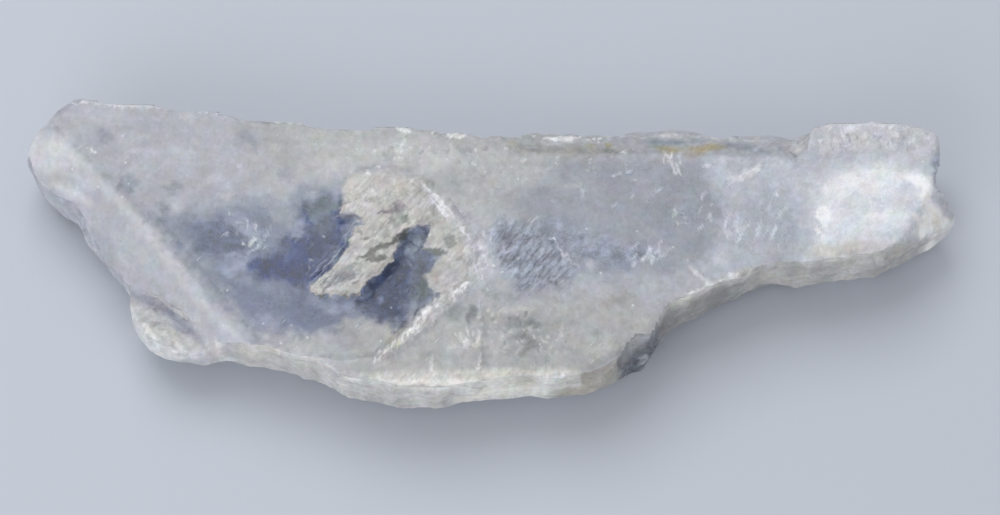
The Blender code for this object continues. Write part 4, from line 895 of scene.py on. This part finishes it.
# The patterns, by how many of their features there are to a millimetre: veils of bubbles
# 3 mm across, haze 0.8 mm and clouds 1 mm, grit 0.2 mm, fibres 0.3 mm and ridges 0.5 mm wide
# along the grain, layers 0.4 mm thick in the walls, and the walls' upright streaks.
veils, haze, clouds, grit, fibres, ridges, layers, columns = (
    add("TexNoise", dict(zip(("Scale", "Detail", "Roughness", "Distortion", "Vector"), row))).outputs[0]
    for row in (
        (0.33, 5, 0.62, 0, mm), (1.3, 3, 0.6, 0, mm), (0.9, 4, 0.68, 0, mm), (4, 2, 0.6, 0, mm),
        (3, 3, 0.65, 0, grain), (2, 2, 0.5, 0.4, grain), (1, 3, 0.6, 0, bedding), (1, 3, 0.6, 0, upright),
    )
)
crumple, drift = (
    add("TexNoise", {"Vector": mm, "Scale": scale, "Detail": 2, "Roughness": 0.6}).outputs["Color"]
    for scale in (1.1, 0.55)
)
crumpled = work("MULTIPLY_ADD", crumple, (1.1, 1.1, 1.1), mm, kind="VectorMath")
# Flakes 1.5 mm and grains 0.4 mm across, chips 2 mm across in the walls and splinters 0.6 mm
# long in the tear, loose white specks 0.2 mm across, and hair scratches 1.5 mm long.
flakes, grains, chips, splinters, specks, hairs = (
    add("TexVoronoi", {"Vector": way, "Scale": scale}, feature="F1")
    for way, scale in (
        (crumpled, 0.6), (crumpled, 2.4), (chips_at, 1), (splinters_at, 1), (mm, 0.55), (hairs_at, 0.7),
    )
)
wisps = add(
    "TexNoise",
    {"Vector": wisps_at, "Scale": 0.8, "Detail": 4, "Roughness": 0.6},
    noise_type="RIDGED_MULTIFRACTAL",
    normalize=True,
).outputs[0]

# Between two of its values, each pattern takes the body from darker to lighter. The last two
# make it less clear and less glossy instead.
(
    veil_shade, haze_shade, flake_shade, grain_shade, chip_shade, splinter_shade,
    fibre_shade, ridge_shade, layer_shade, cloud_shade, column_shade, veiled, smeared,
) = (
    ramp(*row)
    for row in (
        (veils, 0.3, 0.7, 0.88, 1.12),
        (haze, 0.3, 0.7, 0.91, 1.10),
        (flakes.outputs["Color"], 0, 1, 0.95, 1.05),
        (grains.outputs["Color"], 0, 1, 0.91, 1.09),
        (chips.outputs["Color"], 0, 1, 0.90, 1.09),
        (splinters.outputs["Color"], 0, 1, 0.84, 1.14),
        (fibres, 0.3, 0.7, 0.76, 1.22),
        (ridges, 0.35, 0.65, 0.74, 1.30),
        (layers, 0.3, 0.7, 0.94, 1.05),
        (clouds, 0.36, 0.64, 0.60, 1.45),
        (columns, 0.3, 0.7, 0.86, 1.12),
        (veils, 0.35, 0.65, 1.15, 0.75),
        (haze, 0.3, 0.7, -0.06, 0.08),
    )
)

# veils, haze, flakes and grains show everywhere, but less on a clean face
shades = veil_shade
for shade in (haze_shade, flake_shade, grain_shade):
    shades = work("MULTIPLY", shades, shade)
shades = mix(work("MULTIPLY", calm_in, 0.7), shades, 1)
# the others show on walls, tears and waves, and clouds of bubbles in the clear places
cloud_share = ramp(clear_in, 0.08, 0.2)
for share, shade in (
    (wall_in, chip_shade), (broken_in, splinter_shade), (broken_in, fibre_shade),
    (waves_in, ridge_shade), (wall_in, layer_shade), (cloud_share, cloud_shade),
):
    shades = work("MULTIPLY", shades, mix(share, 1, shade))
body = shaded(tone_in, shades)
# thin wisps of bubbles hang in the clear places too
body = covered(body, work("MULTIPLY", ramp(wisps, 0.5, 0.85, 0, 0.5), cloud_share), "#7e8eb0")
# the tint drifts towards green, mauve and yellow, 2 mm at a time
tint = add(
    "MapRange",
    {6: drift, 7: [0.3] * 3, 8: [0.7] * 3, 9: (0.955, 0.97, 0.95), 10: (1.045, 1.03, 1.05)},
    data_type="FLOAT_VECTOR",
).outputs[1]
body = work("MULTIPLY", body, tint, kind="VectorMath")
# walls are streaked from top to bottom, 2 mm apart
body = shaded(body, mix(wall_in, 1, column_shade))
# some of the specks and hairs are white
marks = []
for cells, core, rim, few in ((specks, 0.05, 0.10, 0.52), (hairs, 0.03, 0.08, 0.60)):
    mark = ramp(cells.outputs["Distance"], core, rim, 1, 0)
    marks.append(work("MULTIPLY", mark, ramp(cells.outputs["Color"], few, few + 0.02)))
body = covered(body, work("MULTIPLY", work("MAXIMUM", *marks), 0.55), "#eceef0")
# arrises are painted white where the skin folds outwards: a painted highlight where they catch the light,
# partly the white of bruised mineral
arris_highlight = ramp(work("MULTIPLY_ADD", haze, 0.12, arris_light_in), 0.13, 0.34, 0, 0.65)
body = covered(body, arris_highlight, "#e9e9ea")

# clear faces let light in and shine; broken ones are matt
seen_through = work("MULTIPLY", clear_in, veiled, use_clamp=True)
gloss = work("ADD", ramp(clear_in, 0, 0.5, 0.36, 0.14), smeared)
rough = mix(broken_in, gloss, 0.45)

# layers, fibres and ridges stand up; chips and splinters are flat, each tilted its own way
steps = work("MULTIPLY", layers, wall_in)
for way, share in ((fibres, broken_in), (ridges, waves_in)):
    steps = work("MULTIPLY_ADD", way, share, steps)
tilts = []
for cells, cells_at, share in ((chips, chips_at, wall_in), (splinters, splinters_at, broken_in)):
    from_middle = work("SUBTRACT", cells_at, cells.outputs["Position"], kind="VectorMath")
    lean = work("SUBTRACT", cells.outputs["Color"], (0.5, 0.5, 0.5), kind="VectorMath")
    tilt = add("VectorMath", {0: from_middle, 1: lean}, operation="DOT_PRODUCT").outputs["Value"]
    tilts.append(work("MULTIPLY", tilt, share))
normal = {}
for height, strength, reach in (
    (steps, 0.5, 0.3), (tilts[0], 0.8, 1.0), (tilts[1], 0.8, 0.35), (grit, 0.2, 0.1),
):
    bump = add("Bump", {"Strength": strength, "Distance": reach * MM, "Height": height, **normal})
    normal = {"Normal": bump.outputs[0]}

surface = add("BsdfPrincipled", {
    "Base Color": body, "Roughness": rough, "Transmission Weight": seen_through, "IOR": 1.523,
    "Subsurface Weight": 0.4, "Subsurface Scale": 1.2 * MM, "Subsurface Radius": (1.0, 1.0, 1.1), **normal,
})
inner = add("VolumeAbsorption", {"Color": (0.42, 0.56, 0.92, 1), "Density": 160.0})
add("OutputMaterial", {"Surface": surface.outputs[0], "Volume": inner.outputs[0]})
blade.data.materials.clear()
blade.data.materials.append(selenite)
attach(blade, "root")
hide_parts("crystal_blade")

# ------------------------------------------------------------------ the table top
# A plain pale board, painted matt, that the blade lies on. Matt paint has no shine: it gives
# the blade a soft shadow and a pale light from below.
bpy.ops.object.select_all(action="DESELECT")
bpy.ops.mesh.primitive_plane_add(size=3.0, location=(0, 0, -0.05 * MM))
table = bpy.context.object
table.name = "table_top"
board = bpy.data.materials.new("matt painted board")
board.use_nodes = True
paint_coat = board.node_tree.nodes["Principled BSDF"].inputs
paint_coat["Base Color"].default_value = (*srgb("#c9ced7"), 1)
paint_coat["Roughness"].default_value = 0.9
table.data.materials.append(board)

# ------------------------------------------------------------------ the lights
# A wide soft box high behind the blade draws its edges, a weaker one low in front opens
# the shadow on its broken walls, and the pale walls of the room fill the rest.
for name, spot, size, watts in (
    ("soft_box", (-0.10, 0.24, 0.44), 0.36, 1.15),
    ("front_fill", (-0.22, -0.36, 0.22), 0.40, 0.75),
):
    bpy.ops.object.light_add(type="AREA", location=spot)
    lamp = bpy.context.object
    lamp.name = name
    lamp.data.size = size
    lamp.data.energy = watts
    lamp.rotation_euler = (-lamp.location).to_track_quat("-Z", "Y").to_euler()
room = bpy.data.worlds.new("pale room")
bpy.context.scene.world = room
room.use_nodes = True
room.node_tree.nodes["Background"].inputs["Color"].default_value = (*srgb("#e6e8ed"), 1)
room.node_tree.nodes["Background"].inputs["Strength"].default_value = 0.58

# ------------------------------------------------------------------ the camera
# A short telephoto, 300 mm away and high over the near side, as one looks down at a
# specimen on a bench.
CAMERA_RISE = math.radians(68)
CAMERA_AWAY = 300 * MM
LOOKS_AT = Vector((1.067, 0.091, 5.0)) * MM
back = Vector((0, -math.cos(CAMERA_RISE), math.sin(CAMERA_RISE)))
bpy.ops.object.camera_add(location=LOOKS_AT + back * CAMERA_AWAY)
camera = bpy.context.object
camera.rotation_euler = (-back).to_track_quat("-Z", "Y").to_euler()
camera.data.lens = 100
camera.data.sensor_width = 36
camera.data.clip_start = 0.01
bpy.context.scene.camera = camera
bpy.context.scene.view_settings.view_transform = "Standard"
